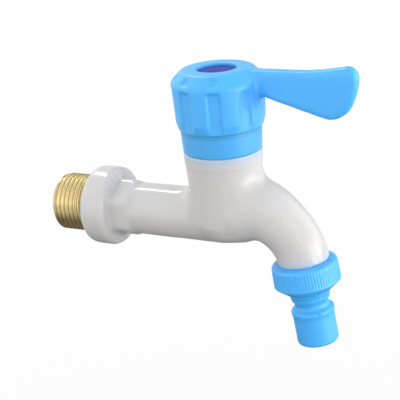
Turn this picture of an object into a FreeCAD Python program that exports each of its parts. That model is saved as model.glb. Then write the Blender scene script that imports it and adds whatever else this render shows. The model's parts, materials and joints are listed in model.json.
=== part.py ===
"""Plastic bib tap with a brass wall thread, a quarter-turn lever and a screwed hose nozzle.

Frame: millimetres, +Z up, +X from the wall towards the spout. The origin lies on the inlet's axis, in the plane
of the collar's back face, where the brass thread leaves the white moulding.
"""
import FreeCAD, Part

import math
import os
import re
from typing import NamedTuple

import Sketcher

# Driving dimensions, in millimetres and degrees. Every formula below is written with these names.
SIZES = {
    # Brass thread insert, half-inch pipe thread outside
    "thread_diameter": 20.955,
    "thread_length": 14.1,
    "thread_chamfer": 0.9,
    "thread_pitch": 1.814,
    "thread_depth": 1.0,
    "thread_groove": 1.25,
    "thread_root": 0.3,
    "thread_start": 0.95,
    "thread_count": 7,
    "insert_bore": 14.4,
    "insert_depth": 8.2,
    "insert_flange": 23.6,
    "insert_waist": 20.0,
    "insert_shoulder": 0.2,
    "insert_neck": 2.0,
    "insert_flange_width": 2.2,
    "insert_notch": 1.6,
    # Collar, wrench section and barrel of the white moulding
    "collar_diameter": 28.7,
    "collar_thickness": 10.1,
    "collar_recess": 23.4,
    "collar_recess_depth": 0.6,
    "collar_back_round": 1.5,
    "collar_front_round": 1.9,
    "wrench_flats": 19.2,
    "wrench_length": 8.0,
    "wrench_round": 1.9,
    "wrench_chamfer": 1.4,
    "barrel_start": 18.5,
    "barrel_finish": 19.0,
    "barrel_bore": 11.0,
    # Valve tower
    "tower_distance": 53.2,
    "tower_top": 25.1,
    "tower_mouth": 27.12,
    "tower_waist": 25.8,
    "tower_waist_height": 16.5,
    "tower_belly": 24.8,
    "tower_belly_height": 0.4,
    "dome_depth": 8.8,
    "dome_edge": 15.6,
    "dome_edge_rise": 2.1,
    "dome_radius": 15.6,
    "dome_shoulder_radius": 9.6,
    "tower_blend": 1.2,
    "spout_blend": 1.0,
    # Spout: a curved taper from the tower to the outlet
    "spout_root": 22.8,
    "spout_root_height": 3.49,
    "spout_start_reach": 8.37,
    "spout_start_height": 4.21,
    "spout_start": 23.76,
    "spout_middle": 16.7,
    "spout_finish": 17.92,
    "spout_rise": 4.9,
    "spout_start_pull": 8.14,
    "spout_finish_pull": 8.84,
    "outlet_reach": 27.28,
    "outlet_drop": 12.77,
    "outlet_lean": 7.6,
    "outlet_thread": 16.662,
    "outlet_thread_length": 5.2,
    # Waterway inside the moulding
    "seat_height": 7.6,
    "seat_port": 7.8,
    "chamber_bore": 19.4,
    "ledge_height": 17.2,
    "mouth_bore": 22.4,
    "spout_bore_reach": 8.5,
    "spout_bore_height": 8.8,
    "spout_bore_start": 10.0,
    "spout_bore_finish": 12.4,
    "spout_bore_dip": 15.0,
    "spout_bore_pull": 7.0,
    # Ceramic disc cartridge
    "fit_gap": 0.05,
    "running_gap": 0.05,
    "face_gap": 0.02,
    "free_gap": 0.3,
    "seal_thickness": 2.0,
    "seal_width": 15.4,
    "support_wall": 0.5,
    "disc_thickness": 2.2,
    "disc_diameter": 15.2,
    "disc_port_inner": 3.8,
    "disc_port_outer": 12.6,
    "disc_port_angle": 80.0,
    "disc_key_depth": 1.3,
    "disc_key_width": 3.0,
    "disc_key_start": 10.4,
    "housing_skirt": 17.6,
    "housing_cavity": 16.0,
    "housing_foot": 0.8,
    "housing_flange": 22.0,
    "housing_flange_height": 2.2,
    "housing_neck": 15.2,
    "housing_height": 35.0,
    "ring_thickness": 1.2,
    "ring_inside": 19.6,
    "window_height": 2.8,
    "window_angle": 115.0,
    "dog_reach": 17.0,
    "spindle_flange": 14.8,
    "spindle_flange_height": 1.6,
    "washer_thickness": 0.7,
    "spindle_journal": 10.0,
    "seal_groove": 7.4,
    "seal_groove_height": 1.8,
    "lower_groove_height": 22.8,
    "upper_groove_height": 28.4,
    "o_ring_section": 1.28,
    "clip_groove": 8.2,
    "clip_thickness": 0.8,
    "clip_width": 12.8,
    "clip_mouth": 7.6,
    "tang_width": 7.0,
    "tang_cover": 2.2,
    "tang_start": 36.6,
    "screw_hole": 3.9,
    "screw_length": 9.5,
    # Blue bonnet nut that holds the cartridge down
    "bonnet_height": 7.8,
    "bonnet_top": 28.2,
    "bonnet_bore": 16.4,
    "bonnet_recess_inner": 19.6,
    "bonnet_recess_outer": 24.4,
    "bonnet_recess_depth": 5.4,
    # Lever handle
    "handle_shoulder": 31.7,
    "handle_taper": 0.5,
    "handle_lip_turn": 1.05,
    "handle_foot_height": 3.2,
    "handle_height": 16.0,
    "handle_crown_height": 3.8,
    "handle_crown_run": 3.85,
    "handle_shoulder_round": 1.6,
    "handle_crown_round": 1.0,
    "handle_wall": 1.6,
    "handle_roof": 3.1,
    "hub_diameter": 12.0,
    "hub_head": 17.4,
    "hub_head_cone": 1.0,
    "index_recess": 13.6,
    "index_recess_depth": 4.8,
    "groove_angle": 17.0,
    "groove_pitch": 40.0,
    "groove_first": 30.0,
    "groove_depth": 1.0,
    "groove_top": 1.4,
    "notch_angle": 12.0,
    "notch_depth": 0.45,
    "lever_thickness": 4.8,
    "lever_edge": 1.5,
    "lever_length": 49.5,
    "lever_tip_drop": 2.0,
    "lever_root_sink": 2.65,
    "lever_root_drop": 7.9,
    "lever_crown_sink": 1.0,
    "lever_crown_drop": 0.1,
    "lever_heel_back": 11.6,
    "lever_heel_drop": 13.75,
    "lever_heel_radius": 5.8,
    "lever_sole_back": 7.8,
    "lever_sole_radius": 12.0,
    "lever_chin_back": 3.4,
    "lever_chin_drop": 10.7,
    "lever_chin_radius": 24.0,
    "lever_tip_radius": 3.93,
    "lever_tip_back": 3.5,
    "lever_tip_rise": 4.0,
    "lever_back_radius": 78.0,
    "lever_back_length": 19.8,
    "lever_back_rise": 1.85,
    # Index button and handle screw
    "button_thickness": 1.2,
    "button_sink": 0.7,
    "button_wall": 1.0,
    "screw_head": 7.2,
    "screw_head_height": 2.2,
    "screw_cross": 1.0,
    "screw_cross_span": 4.0,
    "screw_cross_depth": 1.3,
    "screw_clearance": 4.4,
    # Ribbed union nut
    "nut_start": 0.5,
    "nut_top": 22.7,
    "nut_bottom": 23.2,
    "nut_height": 7.5,
    "nut_chamfer_height": 1.6,
    "nut_chamfer": 19.34,
    "nut_cone_height": 1.3,
    "nut_cone": 16.0,
    "nut_rim_round": 0.3,
    "nut_rib_margin": 0.4,
    "nut_bore": 16.9,
    "nut_hole": 15.3,
    "rib_count": 70,
    "rib_depth": 0.2,
    "rib_width": 0.5,
    # Hose nozzle and its washer
    "nozzle_washer_thickness": 1.4,
    "nozzle_washer_bore": 11.0,
    "nozzle_flange": 16.5,
    "nozzle_flange_height": 1.4,
    "nozzle_shank": 14.8,
    "nozzle_shank_length": 3.9,
    "nozzle_ring": 13.7,
    "nozzle_ring_length": 1.4,
    "nozzle_neck": 11.7,
    "nozzle_neck_length": 1.3,
    "nozzle_slope": 1.4,
    "nozzle_bead": 14.9,
    "nozzle_bead_length": 1.9,
    "nozzle_line": 14.0,
    "nozzle_line_length": 0.5,
    "nozzle_spigot": 14.4,
    "nozzle_spigot_length": 8.7,
    "nozzle_end_round": 1.2,
    "nozzle_bore": 10.0,
}

WORD = re.compile(r"[A-Za-z_]\w*")
TURN = re.compile(r"(sin|cos)\(([^()]*)\)")


class Corner(NamedTuple):
    """One corner of an outline; with a radius, the edge that leaves it is an arc."""

    across: str
    along: str
    radius: str = ""
    turn: str = "ccw"


def stepped_round(across, along, radius, first, last):
    """Corners of a rounded edge in steps of 30 degrees about its centre, from one angle to another."""
    turns = range(first, last - 1, -30) if last < first else range(first, last + 1, 30)
    return [Corner(f"{across} + {radius} * cos({turn})", f"{along} + {radius} * sin({turn})") for turn in turns]


def cells(formula):
    """Write a formula with references to the sheet's cells."""
    return WORD.sub(lambda word: "Sizes." + word.group(0) if word.group(0) in SIZES else word.group(0), formula)


def number(formula):
    """Work a formula out from the table of sizes; its angles are in degrees."""
    formula = TURN.sub(r"\1((\2) * pi / 180)", formula)
    plain = WORD.sub(lambda word: f"({SIZES[word.group(0)]})" if word.group(0) in SIZES else word.group(0), formula)
    return FreeCAD.Units.parseQuantity(plain).Value


def make_sheet(document):
    """Put every size in a spreadsheet, one row each, under its own alias."""
    sheet = document.addObject("Spreadsheet::Sheet", "Sizes")
    for row, (alias, size) in enumerate(SIZES.items(), start=1):
        sheet.set(f"A{row}", alias.replace("_", " "))
        sheet.set(f"B{row}", str(size))
        sheet.setAlias(f"B{row}", alias)
    document.recompute()
    return sheet


doc = FreeCAD.newDocument("plastic_tap")
sizes = make_sheet(doc)
nodes = []


def new_body(label, x="0", z="0", lean=""):
    """Start a piece at a place in the XZ plane, leaning about Y where a lean is given."""
    body = doc.addObject("PartDesign::Body", label)
    body.Label = label
    if lean:
        body.Placement = FreeCAD.Placement(FreeCAD.Vector(), FreeCAD.Rotation(FreeCAD.Vector(0, 1, 0), number(lean)))
        body.setExpression("Placement.Rotation.Angle", cells(lean))
    body.setExpression("Placement.Base.x", cells(x))
    body.setExpression("Placement.Base.z", cells(z))
    nodes.append(body)
    return body


def origin_part(body, role):
    """Find one of a body's own planes or axes."""
    return next(item for item in body.Origin.OriginFeatures if item.Role == role)


def new_sketch(body, name, role, shift=None, spin=None):
    """Start a sketch on an origin plane, shifted by formulas and turned about one of its own axes."""
    sketch = body.newObject("Sketcher::SketchObject", name)
    sketch.AttachmentSupport = (origin_part(body, role), [""])
    sketch.MapMode = "FlatFace"
    if spin:
        axis, angle = spin
        turned = FreeCAD.Rotation(FreeCAD.Vector(*axis), number(angle))
        sketch.AttachmentOffset = FreeCAD.Placement(FreeCAD.Vector(), turned)
        sketch.setExpression("AttachmentOffset.Rotation.Angle", cells(angle))
    for letter, formula in zip("xyz", shift or ()):
        sketch.setExpression(f"AttachmentOffset.Base.{letter}", cells(formula))
    return sketch


def hold(sketch, kind, places, formula):
    """Add a dimension to a sketch and bind it to the sheet."""
    index = sketch.addConstraint(Sketcher.Constraint(kind, *places, number(formula)))
    sketch.setExpression(f"Constraints[{index}]", cells(formula))


def outline(body, name, corners, role="XZ_Plane", shift=None, spin=None):
    """Draw a closed outline through corners whose places are formulas."""
    sketch = new_sketch(body, name, role, shift, spin)
    points = [FreeCAD.Vector(number(corner.across), number(corner.along), 0) for corner in corners]
    for index, corner in enumerate(corners):
        first, second = points[index], points[(index + 1) % len(points)]
        sketch.addGeometry(edge_between(first, second, corner), False)
    starts = [2 if corner.radius and corner.turn == "cw" else 1 for corner in corners]
    for index, corner in enumerate(corners):
        after = (index + 1) % len(corners)
        link = Sketcher.Constraint("Coincident", index, 3 - starts[index], after, starts[after])
        sketch.addConstraint(link)
    for index, corner in enumerate(corners):
        pin_point(sketch, index, starts[index], corner)
        if corner.radius:
            hold(sketch, "Radius", (index,), corner.radius)
    return sketch


def edge_between(first, second, corner):
    """Make the straight or round edge that leaves a corner."""
    if not corner.radius:
        return Part.LineSegment(first, second)
    radius = number(corner.radius)
    side = 1 if corner.turn == "ccw" else -1
    chord = second - first
    rise = math.sqrt(radius ** 2 - chord.Length ** 2 / 4)
    normal = FreeCAD.Vector(-chord.y, chord.x, 0).normalize() * side
    centre = (first + second) * 0.5 + normal * rise
    start, finish = (first, second) if side > 0 else (second, first)
    low = math.atan2(start.y - centre.y, start.x - centre.x)
    high = math.atan2(finish.y - centre.y, finish.x - centre.x)
    circle = Part.Circle(centre, FreeCAD.Vector(0, 0, 1), radius)
    return Part.ArcOfCircle(circle, low, high if high > low else high + 2 * math.pi)


def pin_point(sketch, edge, end, corner):
    """Fix one corner of an outline by its two formulas."""
    for kind, axis, formula in (("DistanceX", -2, corner.across), ("DistanceY", -1, corner.along)):
        if formula == "0":
            sketch.addConstraint(Sketcher.Constraint("PointOnObject", edge, end, axis))
        else:
            hold(sketch, kind, (edge, end), formula)


def revolve(body, name, corners, axis="V_Axis", cut=False, angle="", shift=None, spin=None):
    """Turn an outline about its vertical or horizontal axis, adding or cutting."""
    sketch = outline(body, name + "_outline", corners, "XZ_Plane", shift, spin)
    feature = body.newObject("PartDesign::Groove" if cut else "PartDesign::Revolution", name)
    feature.Profile = sketch
    feature.ReferenceAxis = (sketch, [axis])
    feature.Angle = 360
    if angle:
        feature.Midplane = True
        feature.setExpression("Angle", cells(angle))
    return finish(body, feature)


def extrude(body, name, sketch, length, cut=False, symmetric=False, reverse=False):
    """Pad or pocket a sketch by a length."""
    feature = body.newObject("PartDesign::Pocket" if cut else "PartDesign::Pad", name)
    feature.Profile = sketch
    feature.setExpression("Length", cells(length))
    if symmetric:
        feature.SideType = "Symmetric"
    feature.Reversed = reverse
    return finish(body, feature)


def polar(body, name, original, count, angle):
    """Repeat a feature about the body's own Z axis."""
    feature = body.newObject("PartDesign::PolarPattern", name)
    feature.Originals = [original]
    feature.Axis = (origin_part(body, "Z_Axis"), [""])
    feature.setExpression("Angle", cells(angle))
    feature.setExpression("Occurrences", cells(count))
    return finish(body, feature)


def round_edges(body, name, radius, wanted, kind="Fillet"):
    """Fillet or chamfer the edges of the body's last feature that a test picks out."""
    base = body.Tip
    picked = [f"Edge{index}" for index, edge in enumerate(base.Shape.Edges, start=1) if wanted(edge)]
    if not picked:
        raise ValueError(f"{body.Label}: no edge to round for {name}")
    feature = body.newObject("PartDesign::" + kind, name)
    feature.Base = (base, picked)
    feature.setExpression("Radius" if kind == "Fillet" else "Size", cells(radius))
    return finish(body, feature)


def finish(body, feature):
    """Make a feature the body's tip and work it out."""
    body.Tip = feature
    doc.recompute()
    return feature


def rectangle(low_across, low_along, high_across, high_along):
    """Corners of an upright rectangle."""
    return [
        Corner(low_across, low_along),
        Corner(high_across, low_along),
        Corner(high_across, high_along),
        Corner(low_across, high_along),
    ]


def centred_box(width, depth):
    """Corners of a rectangle about the sketch's origin."""
    return rectangle(f"-({width}) / 2", f"-({depth}) / 2", f"({width}) / 2", f"({depth}) / 2")


def ring_outline(inner, outer, low, high):
    """Corners of a plain ring's section, from its diameters."""
    return rectangle(f"({inner}) / 2", low, f"({outer}) / 2", high)


def circle_sketch(body, name, diameter, shift, lean="0"):
    """Draw a circle across a path: its centre by formulas, its plane turned about Y."""
    spin = ((0, 1, 0), lean) if lean != "0" else None
    sketch = new_sketch(body, name, "XY_Plane", shift, spin)
    sketch.addGeometry(Part.Circle(FreeCAD.Vector(), FreeCAD.Vector(0, 0, 1), number(diameter) / 2), False)
    sketch.addConstraint(Sketcher.Constraint("Coincident", 0, 3, -1, 1))
    hold(sketch, "Radius", (0,), f"({diameter}) / 2")
    return sketch


def blend(share, controls):
    """Bernstein sum of control values, at a share of the way along."""
    order = len(controls) - 1
    weights = [math.comb(order, k) * share ** k * (1 - share) ** (order - k) for k in range(order + 1)]
    return " + ".join(f"{weight:.6f} * ({control})" for weight, control in zip(weights, controls))


def slope(share, controls):
    """Derivative of the same sum, up to its constant factor."""
    steps = [f"({after}) - ({before})" for before, after in zip(controls, controls[1:])]
    return blend(share, steps)


def loft(body, name, sections, cut=False):
    """Join circles into one smooth tube, added or cut."""
    feature = body.newObject("PartDesign::SubtractiveLoft" if cut else "PartDesign::AdditiveLoft", name)
    feature.Profile = sections[0]
    feature.Sections = sections[1:]
    return finish(body, feature)


# Heights that several pieces share, as formulas
FIXED_DISC_LOW = "seat_height + seal_thickness"
DRIVE_DISC_LOW = FIXED_DISC_LOW + " + disc_thickness + face_gap"
DRIVE_DISC_TOP = DRIVE_DISC_LOW + " + disc_thickness"
FLANGE_LOW = "ledge_height + ring_thickness"
FLANGE_TOP = FLANGE_LOW + " + housing_flange_height"
HOUSING_ROOF = FLANGE_LOW + " + 0.8"
SPINDLE_FLANGE_TOP = HOUSING_ROOF + " - washer_thickness - running_gap"
SPINDLE_FLANGE_LOW = SPINDLE_FLANGE_TOP + " - spindle_flange_height"
BONNET_TOP = "tower_top + bonnet_height"
HANDLE_LOW = BONNET_TOP + " + free_gap"
HANDLE_SHOULDER = HANDLE_LOW + " + handle_height"
HANDLE_TOP = HANDLE_SHOULDER + " + handle_crown_height"
INDEX_FLOOR = HANDLE_TOP + " - index_recess_depth"
TANG_TOP = INDEX_FLOOR + " - tang_cover"
HANDLE_FOOT = "(handle_shoulder / 2 - handle_taper)"
HANDLE_LIP = "(handle_shoulder / 2 - handle_taper - handle_lip_turn)"
HANDLE_CROWN = "(handle_shoulder / 2 - handle_crown_run)"
TURNED_DOWN = "180 - outlet_lean"


def insert_corners(grow):
    """Outline of the brass insert about the inlet's axis; the moulding's cavity is this shape grown a little."""
    flange = f"insert_flange / 2 + {grow}"
    waist = f"insert_waist / 2 + {grow}"
    return [
        Corner("insert_neck", waist),
        Corner("insert_neck", flange),
        Corner("insert_neck + insert_flange_width", flange),
        Corner("insert_neck + insert_flange_width", waist),
        Corner("insert_depth - insert_flange_width", waist),
        Corner("insert_depth - insert_flange_width", flange),
        Corner(f"insert_depth + {grow}", flange),
    ]


def make_tap_body():
    """The white moulding: collar, wrench flats, barrel, valve tower and spout in one piece."""
    body = new_body("tap_body")
    collar = "collar_diameter / 2"
    revolve(body, "barrel", [
        Corner("0", "0"),
        *stepped_round("collar_back_round", f"{collar} - collar_back_round", "collar_back_round", 180, 90),
        *stepped_round("collar_thickness - collar_front_round", f"{collar} - collar_front_round",
                       "collar_front_round", 90, 0),
        Corner("collar_thickness", "barrel_start / 2"),
        Corner("tower_distance", "barrel_finish / 2"),
        Corner("tower_distance", "0"),
    ], axis="H_Axis")
    add_wrench_flats(body)
    revolve(body, "tower", [
        Corner("0", "-dome_depth", "dome_radius"),
        Corner("dome_edge / 2", "dome_edge_rise - dome_depth", "dome_shoulder_radius"),
        Corner("tower_belly / 2", "tower_belly_height"),
        Corner("tower_waist / 2", "tower_waist_height"),
        Corner("tower_mouth / 2", "tower_top"),
        Corner("0", "tower_top"),
    ], shift=("tower_distance", "0", "0"))
    add_spout(body)
    round_edges(body, "tower_corner", "tower_blend", is_tower_corner)
    round_edges(body, "spout_corner", "spout_blend", is_spout_corner)
    thread_start = circle_sketch(body, "outlet_thread_circle", "outlet_thread",
                                 ("tower_distance + outlet_reach", "0", "-outlet_drop"), TURNED_DOWN)
    extrude(body, "outlet_thread_spigot", thread_start, "outlet_thread_length")
    cut_waterway(body)
    return body


def add_wrench_flats(body):
    """A short hexagon in front of the collar, with a point at the bottom and rounded edges."""
    point = "wrench_flats / 2 / cos(30)"
    corners = [
        Corner(f"{point} * sin({turn})", f"{point} * cos({turn})")
        if turn % 180 else Corner("0", point if turn == 0 else f"-{point}")
        for turn in range(0, 360, 60)
    ]
    sketch = outline(body, "wrench_outline", corners, "YZ_Plane", shift=("0", "0", "collar_thickness"))
    extrude(body, "wrench_section", sketch, "wrench_length")
    reach = number(point)

    def is_wrench_edge(edge):
        """Long edges of the hexagon, along X at its points."""
        middle = edge.CenterOfMass
        across = math.hypot(middle.y, middle.z)
        return isinstance(edge.Curve, Part.Line) and abs(across - reach) < 0.01

    round_edges(body, "wrench_points", "wrench_round", is_wrench_edge)
    front = "collar_thickness + wrench_length"
    revolve(body, "wrench_front", [
        Corner(f"{front} - wrench_chamfer", point),
        Corner(f"{front} + fit_gap", f"{point} - wrench_chamfer"),
        Corner(f"{front} + fit_gap", point),
    ], axis="H_Axis", cut=True)


def add_spout(body):
    """The spout: circles along a cubic curve whose end leans with the outlet."""
    reach = [
        "spout_start_reach",
        "spout_start_reach + spout_start_pull * cos(spout_rise)",
        "outlet_reach - spout_finish_pull * sin(outlet_lean)",
        "outlet_reach",
    ]
    height = [
        "spout_start_height",
        "spout_start_height + spout_start_pull * sin(spout_rise)",
        "-outlet_drop + spout_finish_pull * cos(outlet_lean)",
        "-outlet_drop",
    ]
    width = ["spout_start", "spout_middle", "spout_finish"]
    root = circle_sketch(body, "spout_root_circle", "spout_root",
                         ("tower_distance", "0", "spout_root_height"), "90 - spout_rise")
    sections = [root]
    for step in range(6):
        share = step / 5
        lean = f"90 deg - atan2({slope(share, height)}; {slope(share, reach)})"
        place = (f"tower_distance + {blend(share, reach)}", "0", blend(share, height))
        sections.append(path_circle(body, f"spout_circle_{step + 1}", blend(share, width), place, lean,
                                    math.degrees(math.atan2(number(slope(share, height)),
                                                            number(slope(share, reach))))))
    loft(body, "spout", sections)


def path_circle(body, name, diameter, place, lean, heading):
    """A circle across a curved path; its heading only gives the plane a first angle."""
    sketch = new_sketch(body, name, "XY_Plane", place)
    turned = FreeCAD.Rotation(FreeCAD.Vector(0, 1, 0), 90 - heading)
    sketch.AttachmentOffset = FreeCAD.Placement(sketch.AttachmentOffset.Base, turned)
    sketch.setExpression("AttachmentOffset.Rotation.Angle", cells(lean))
    sketch.addGeometry(Part.Circle(FreeCAD.Vector(), FreeCAD.Vector(0, 0, 1), number(diameter) / 2), False)
    sketch.addConstraint(Sketcher.Constraint("Coincident", 0, 3, -1, 1))
    hold(sketch, "Radius", (0,), f"({diameter}) / 2")
    return sketch


def is_tower_corner(edge):
    """Edges where the barrel runs into the tower."""
    box = edge.BoundBox
    tower = number("tower_distance")
    near = number("tower_belly / 2")
    return box.XMin > tower - near - 2 and box.XMax < tower - 2 and box.YLength > 2


def is_spout_corner(edge):
    """Edges where the spout leaves the tower."""
    box = edge.BoundBox
    tower = number("tower_distance")
    near = number("tower_belly / 2")
    return box.XMax < tower + near + 3 and box.XMin > tower + 3 and box.YLength > 2 and box.ZMax < number("tower_top") - 1


def cut_waterway(body):
    """Insert cavity, inlet bore, valve chamber with its seat and port, and the curved spout bore."""
    cavity = [
        Corner("-1", "0"),
        Corner("-1", "collar_recess / 2"),
        Corner("collar_recess_depth", "collar_recess / 2"),
        Corner("collar_recess_depth", "insert_waist / 2 + face_gap"),
    ]
    cavity += insert_corners("face_gap")
    cavity.append(Corner("insert_depth + face_gap", "0"))
    revolve(body, "insert_cavity", cavity, axis="H_Axis", cut=True)
    revolve(body, "inlet_bore", rectangle("0", "0", "tower_distance + barrel_bore / 2", "barrel_bore / 2"),
            axis="H_Axis", cut=True)
    revolve(body, "valve_chamber", [
        Corner("0", "0"),
        Corner("seat_port / 2", "0"),
        Corner("seat_port / 2", "seat_height"),
        Corner("chamber_bore / 2", "seat_height"),
        Corner("chamber_bore / 2", "ledge_height"),
        Corner("mouth_bore / 2", "ledge_height"),
        Corner("mouth_bore / 2", "tower_top + 1"),
        Corner("0", "tower_top + 1"),
    ], cut=True, shift=("tower_distance", "0", "0"))
    reach = [
        "spout_bore_reach",
        "spout_bore_reach + spout_bore_pull * cos(spout_bore_dip)",
        "outlet_reach - spout_finish_pull * sin(outlet_lean)",
        "outlet_reach",
    ]
    height = [
        "spout_bore_height",
        "spout_bore_height - spout_bore_pull * sin(spout_bore_dip)",
        "-outlet_drop + spout_finish_pull * cos(outlet_lean)",
        "-outlet_drop",
    ]
    width = ["spout_bore_start", "spout_bore_finish"]
    sections = []
    for step in range(5):
        share = step / 4
        lean = f"90 deg - atan2({slope(share, height)}; {slope(share, reach)})"
        place = (f"tower_distance + {blend(share, reach)}", "0", blend(share, height))
        sections.append(path_circle(body, f"spout_bore_circle_{step + 1}", blend(share, width), place, lean,
                                    math.degrees(math.atan2(number(slope(share, height)),
                                                            number(slope(share, reach))))))
    loft(body, "spout_bore", sections, cut=True)
    mouth = circle_sketch(body, "outlet_bore_circle", "spout_bore_finish",
                          ("tower_distance + outlet_reach", "0", "-outlet_drop"), TURNED_DOWN)
    extrude(body, "outlet_bore", mouth, "outlet_thread_length + 1", cut=True, reverse=True)


def make_inlet_insert():
    """Turned brass insert: pipe thread outside, two notched flanges held in the moulding."""
    body = new_body("inlet_insert")
    corners = [Corner("-thread_length", "insert_bore / 2"),
               Corner("-thread_length", "thread_diameter / 2 - thread_chamfer"),
               Corner("thread_chamfer - thread_length", "thread_diameter / 2"),
               Corner("insert_shoulder", "thread_diameter / 2"),
               Corner("insert_shoulder", "insert_waist / 2")]
    corners += insert_corners("0")
    corners.append(Corner("insert_depth", "insert_bore / 2"))
    revolve(body, "insert_turning", corners, axis="H_Axis")
    cut_thread_grooves(body)
    notch = outline(body, "notch_outline", rectangle("insert_waist / 2 + 0.2", "-insert_notch / 2",
                                                     "insert_flange / 2 + 1", "insert_notch / 2"),
                    "YZ_Plane", shift=("0", "0", "insert_neck - 0.5"))
    first = extrude(body, "notch", notch, "insert_depth", cut=True, reverse=True)
    pattern = body.newObject("PartDesign::PolarPattern", "notches")
    pattern.Originals = [first]
    pattern.Axis = (origin_part(body, "X_Axis"), [""])
    pattern.Angle = 360
    pattern.Occurrences = 8
    finish(body, pattern)
    return body


def cut_thread_grooves(body):
    """Rings that stand for the pipe thread, one pitch apart and to the thread's depth."""
    groove = revolve(body, "thread_groove", [
        Corner("-thread_start - thread_groove / 2", "thread_diameter / 2 + fit_gap"),
        Corner("-thread_start - thread_root / 2", "thread_diameter / 2 - thread_depth"),
        Corner("-thread_start + thread_root / 2", "thread_diameter / 2 - thread_depth"),
        Corner("-thread_start + thread_groove / 2", "thread_diameter / 2 + fit_gap"),
    ], axis="H_Axis", cut=True)
    feature = body.newObject("PartDesign::LinearPattern", "thread_grooves")
    feature.Originals = [groove]
    feature.Direction = (origin_part(body, "X_Axis"), [""])
    feature.Reversed = True
    feature.setExpression("Length", cells("thread_pitch * (thread_count - 1)"))
    feature.setExpression("Occurrences", cells("thread_count"))
    finish(body, feature)


def make_seat_seal():
    """Rubber ring that presses the fixed disc against the seat."""
    body = new_body("seat_seal", "tower_distance")
    inside = "seat_port + 2 * support_wall + 2 * fit_gap"
    revolve(body, "seal_ring", ring_outline(inside, "seal_width", "seat_height", FIXED_DISC_LOW))
    return body


def make_seal_support_ring():
    """Thin ring that keeps the rubber from closing over the port."""
    body = new_body("seal_support_ring", "tower_distance")
    revolve(body, "support_ring", ring_outline("seat_port", "seat_port + 2 * support_wall", "seat_height",
                                               f"{FIXED_DISC_LOW} - 0.2"))
    return body


def cut_ports(body, low, high, facing):
    """Two opposite sector ports through a disc, the first one facing the given way."""
    port = revolve(body, "port", ring_outline("disc_port_inner", "disc_port_outer", low, high),
                   cut=True, angle="disc_port_angle", spin=((0, 1, 0), facing))
    polar_pair(body, "ports", port)


def polar_pair(body, name, original):
    """The same feature again on the opposite side."""
    feature = body.newObject("PartDesign::PolarPattern", name)
    feature.Originals = [original]
    feature.Axis = (origin_part(body, "Z_Axis"), [""])
    feature.Angle = 360
    feature.Occurrences = 2
    finish(body, feature)


def make_fixed_disc():
    """Lower ceramic disc, keyed to the housing by two lugs, with ports to the sides."""
    body = new_body("fixed_disc", "tower_distance")
    top = f"{FIXED_DISC_LOW} + disc_thickness"
    revolve(body, "disc", ring_outline("0", "disc_diameter", FIXED_DISC_LOW, top))
    lugs = outline(body, "lug_outline", centred_box("housing_cavity + 0.8", "disc_key_width - 2 * fit_gap"),
                   "XY_Plane", shift=("0", "0", FIXED_DISC_LOW))
    extrude(body, "lugs", lugs, "disc_thickness")
    cut_ports(body, f"{FIXED_DISC_LOW} - 1", f"{top} + 1", "90")
    return body


def make_drive_disc():
    """Upper ceramic disc, turned by the spindle's dogs; its ports are a quarter turn away when the tap is shut."""
    body = new_body("drive_disc", "tower_distance")
    revolve(body, "disc", ring_outline("0", "disc_diameter", DRIVE_DISC_LOW, DRIVE_DISC_TOP))
    slot = outline(body, "key_outline", rectangle("-disc_key_width / 2 - fit_gap", "disc_key_start / 2 - fit_gap",
                                                  "disc_key_width / 2 + fit_gap", "disc_diameter / 2 + 1"),
                   "XY_Plane", shift=("0", "0", f"{DRIVE_DISC_TOP} - disc_key_depth"))
    key = extrude(body, "key_slot", slot, "disc_key_depth + 1", cut=True, reverse=True)
    polar_pair(body, "key_slots", key)
    cut_ports(body, f"{DRIVE_DISC_LOW} - 1", f"{DRIVE_DISC_TOP} + 1", "180")
    return body


def make_cartridge_housing():
    """Moulded housing: skirt round the discs, two windows, clamped flange and neck."""
    body = new_body("cartridge_housing", "tower_distance")
    foot = "seat_height + housing_foot"
    revolve(body, "housing", [
        Corner("housing_cavity / 2", foot),
        Corner("housing_skirt / 2", foot),
        Corner("housing_skirt / 2", FLANGE_LOW),
        Corner("housing_flange / 2", FLANGE_LOW),
        Corner("housing_flange / 2", FLANGE_TOP),
        Corner("housing_neck / 2", FLANGE_TOP),
        Corner("housing_neck / 2", "housing_height"),
        Corner("spindle_journal / 2 + running_gap", "housing_height"),
        Corner("spindle_journal / 2 + running_gap", HOUSING_ROOF),
        Corner("housing_cavity / 2", HOUSING_ROOF),
    ])
    window = revolve(body, "window", ring_outline("housing_cavity - 1", "housing_skirt + 1",
                                                  "ledge_height - window_height", "ledge_height"),
                     cut=True, angle="window_angle", spin=((0, 1, 0), "135"))
    polar_pair(body, "windows", window)
    slots = outline(body, "slot_outline", centred_box("housing_skirt + 2", "disc_key_width"),
                    "XY_Plane", shift=("0", "0", "seat_height"))
    extrude(body, "key_slots", slots, "seal_thickness + disc_thickness + fit_gap", cut=True, reverse=True)
    return body


def make_cartridge_seal_ring():
    """Rubber ring between the housing's flange and the ledge in the tower."""
    body = new_body("cartridge_seal_ring", "tower_distance")
    revolve(body, "seal_ring", ring_outline("ring_inside", "housing_flange", "ledge_height", FLANGE_LOW))
    return body


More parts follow.
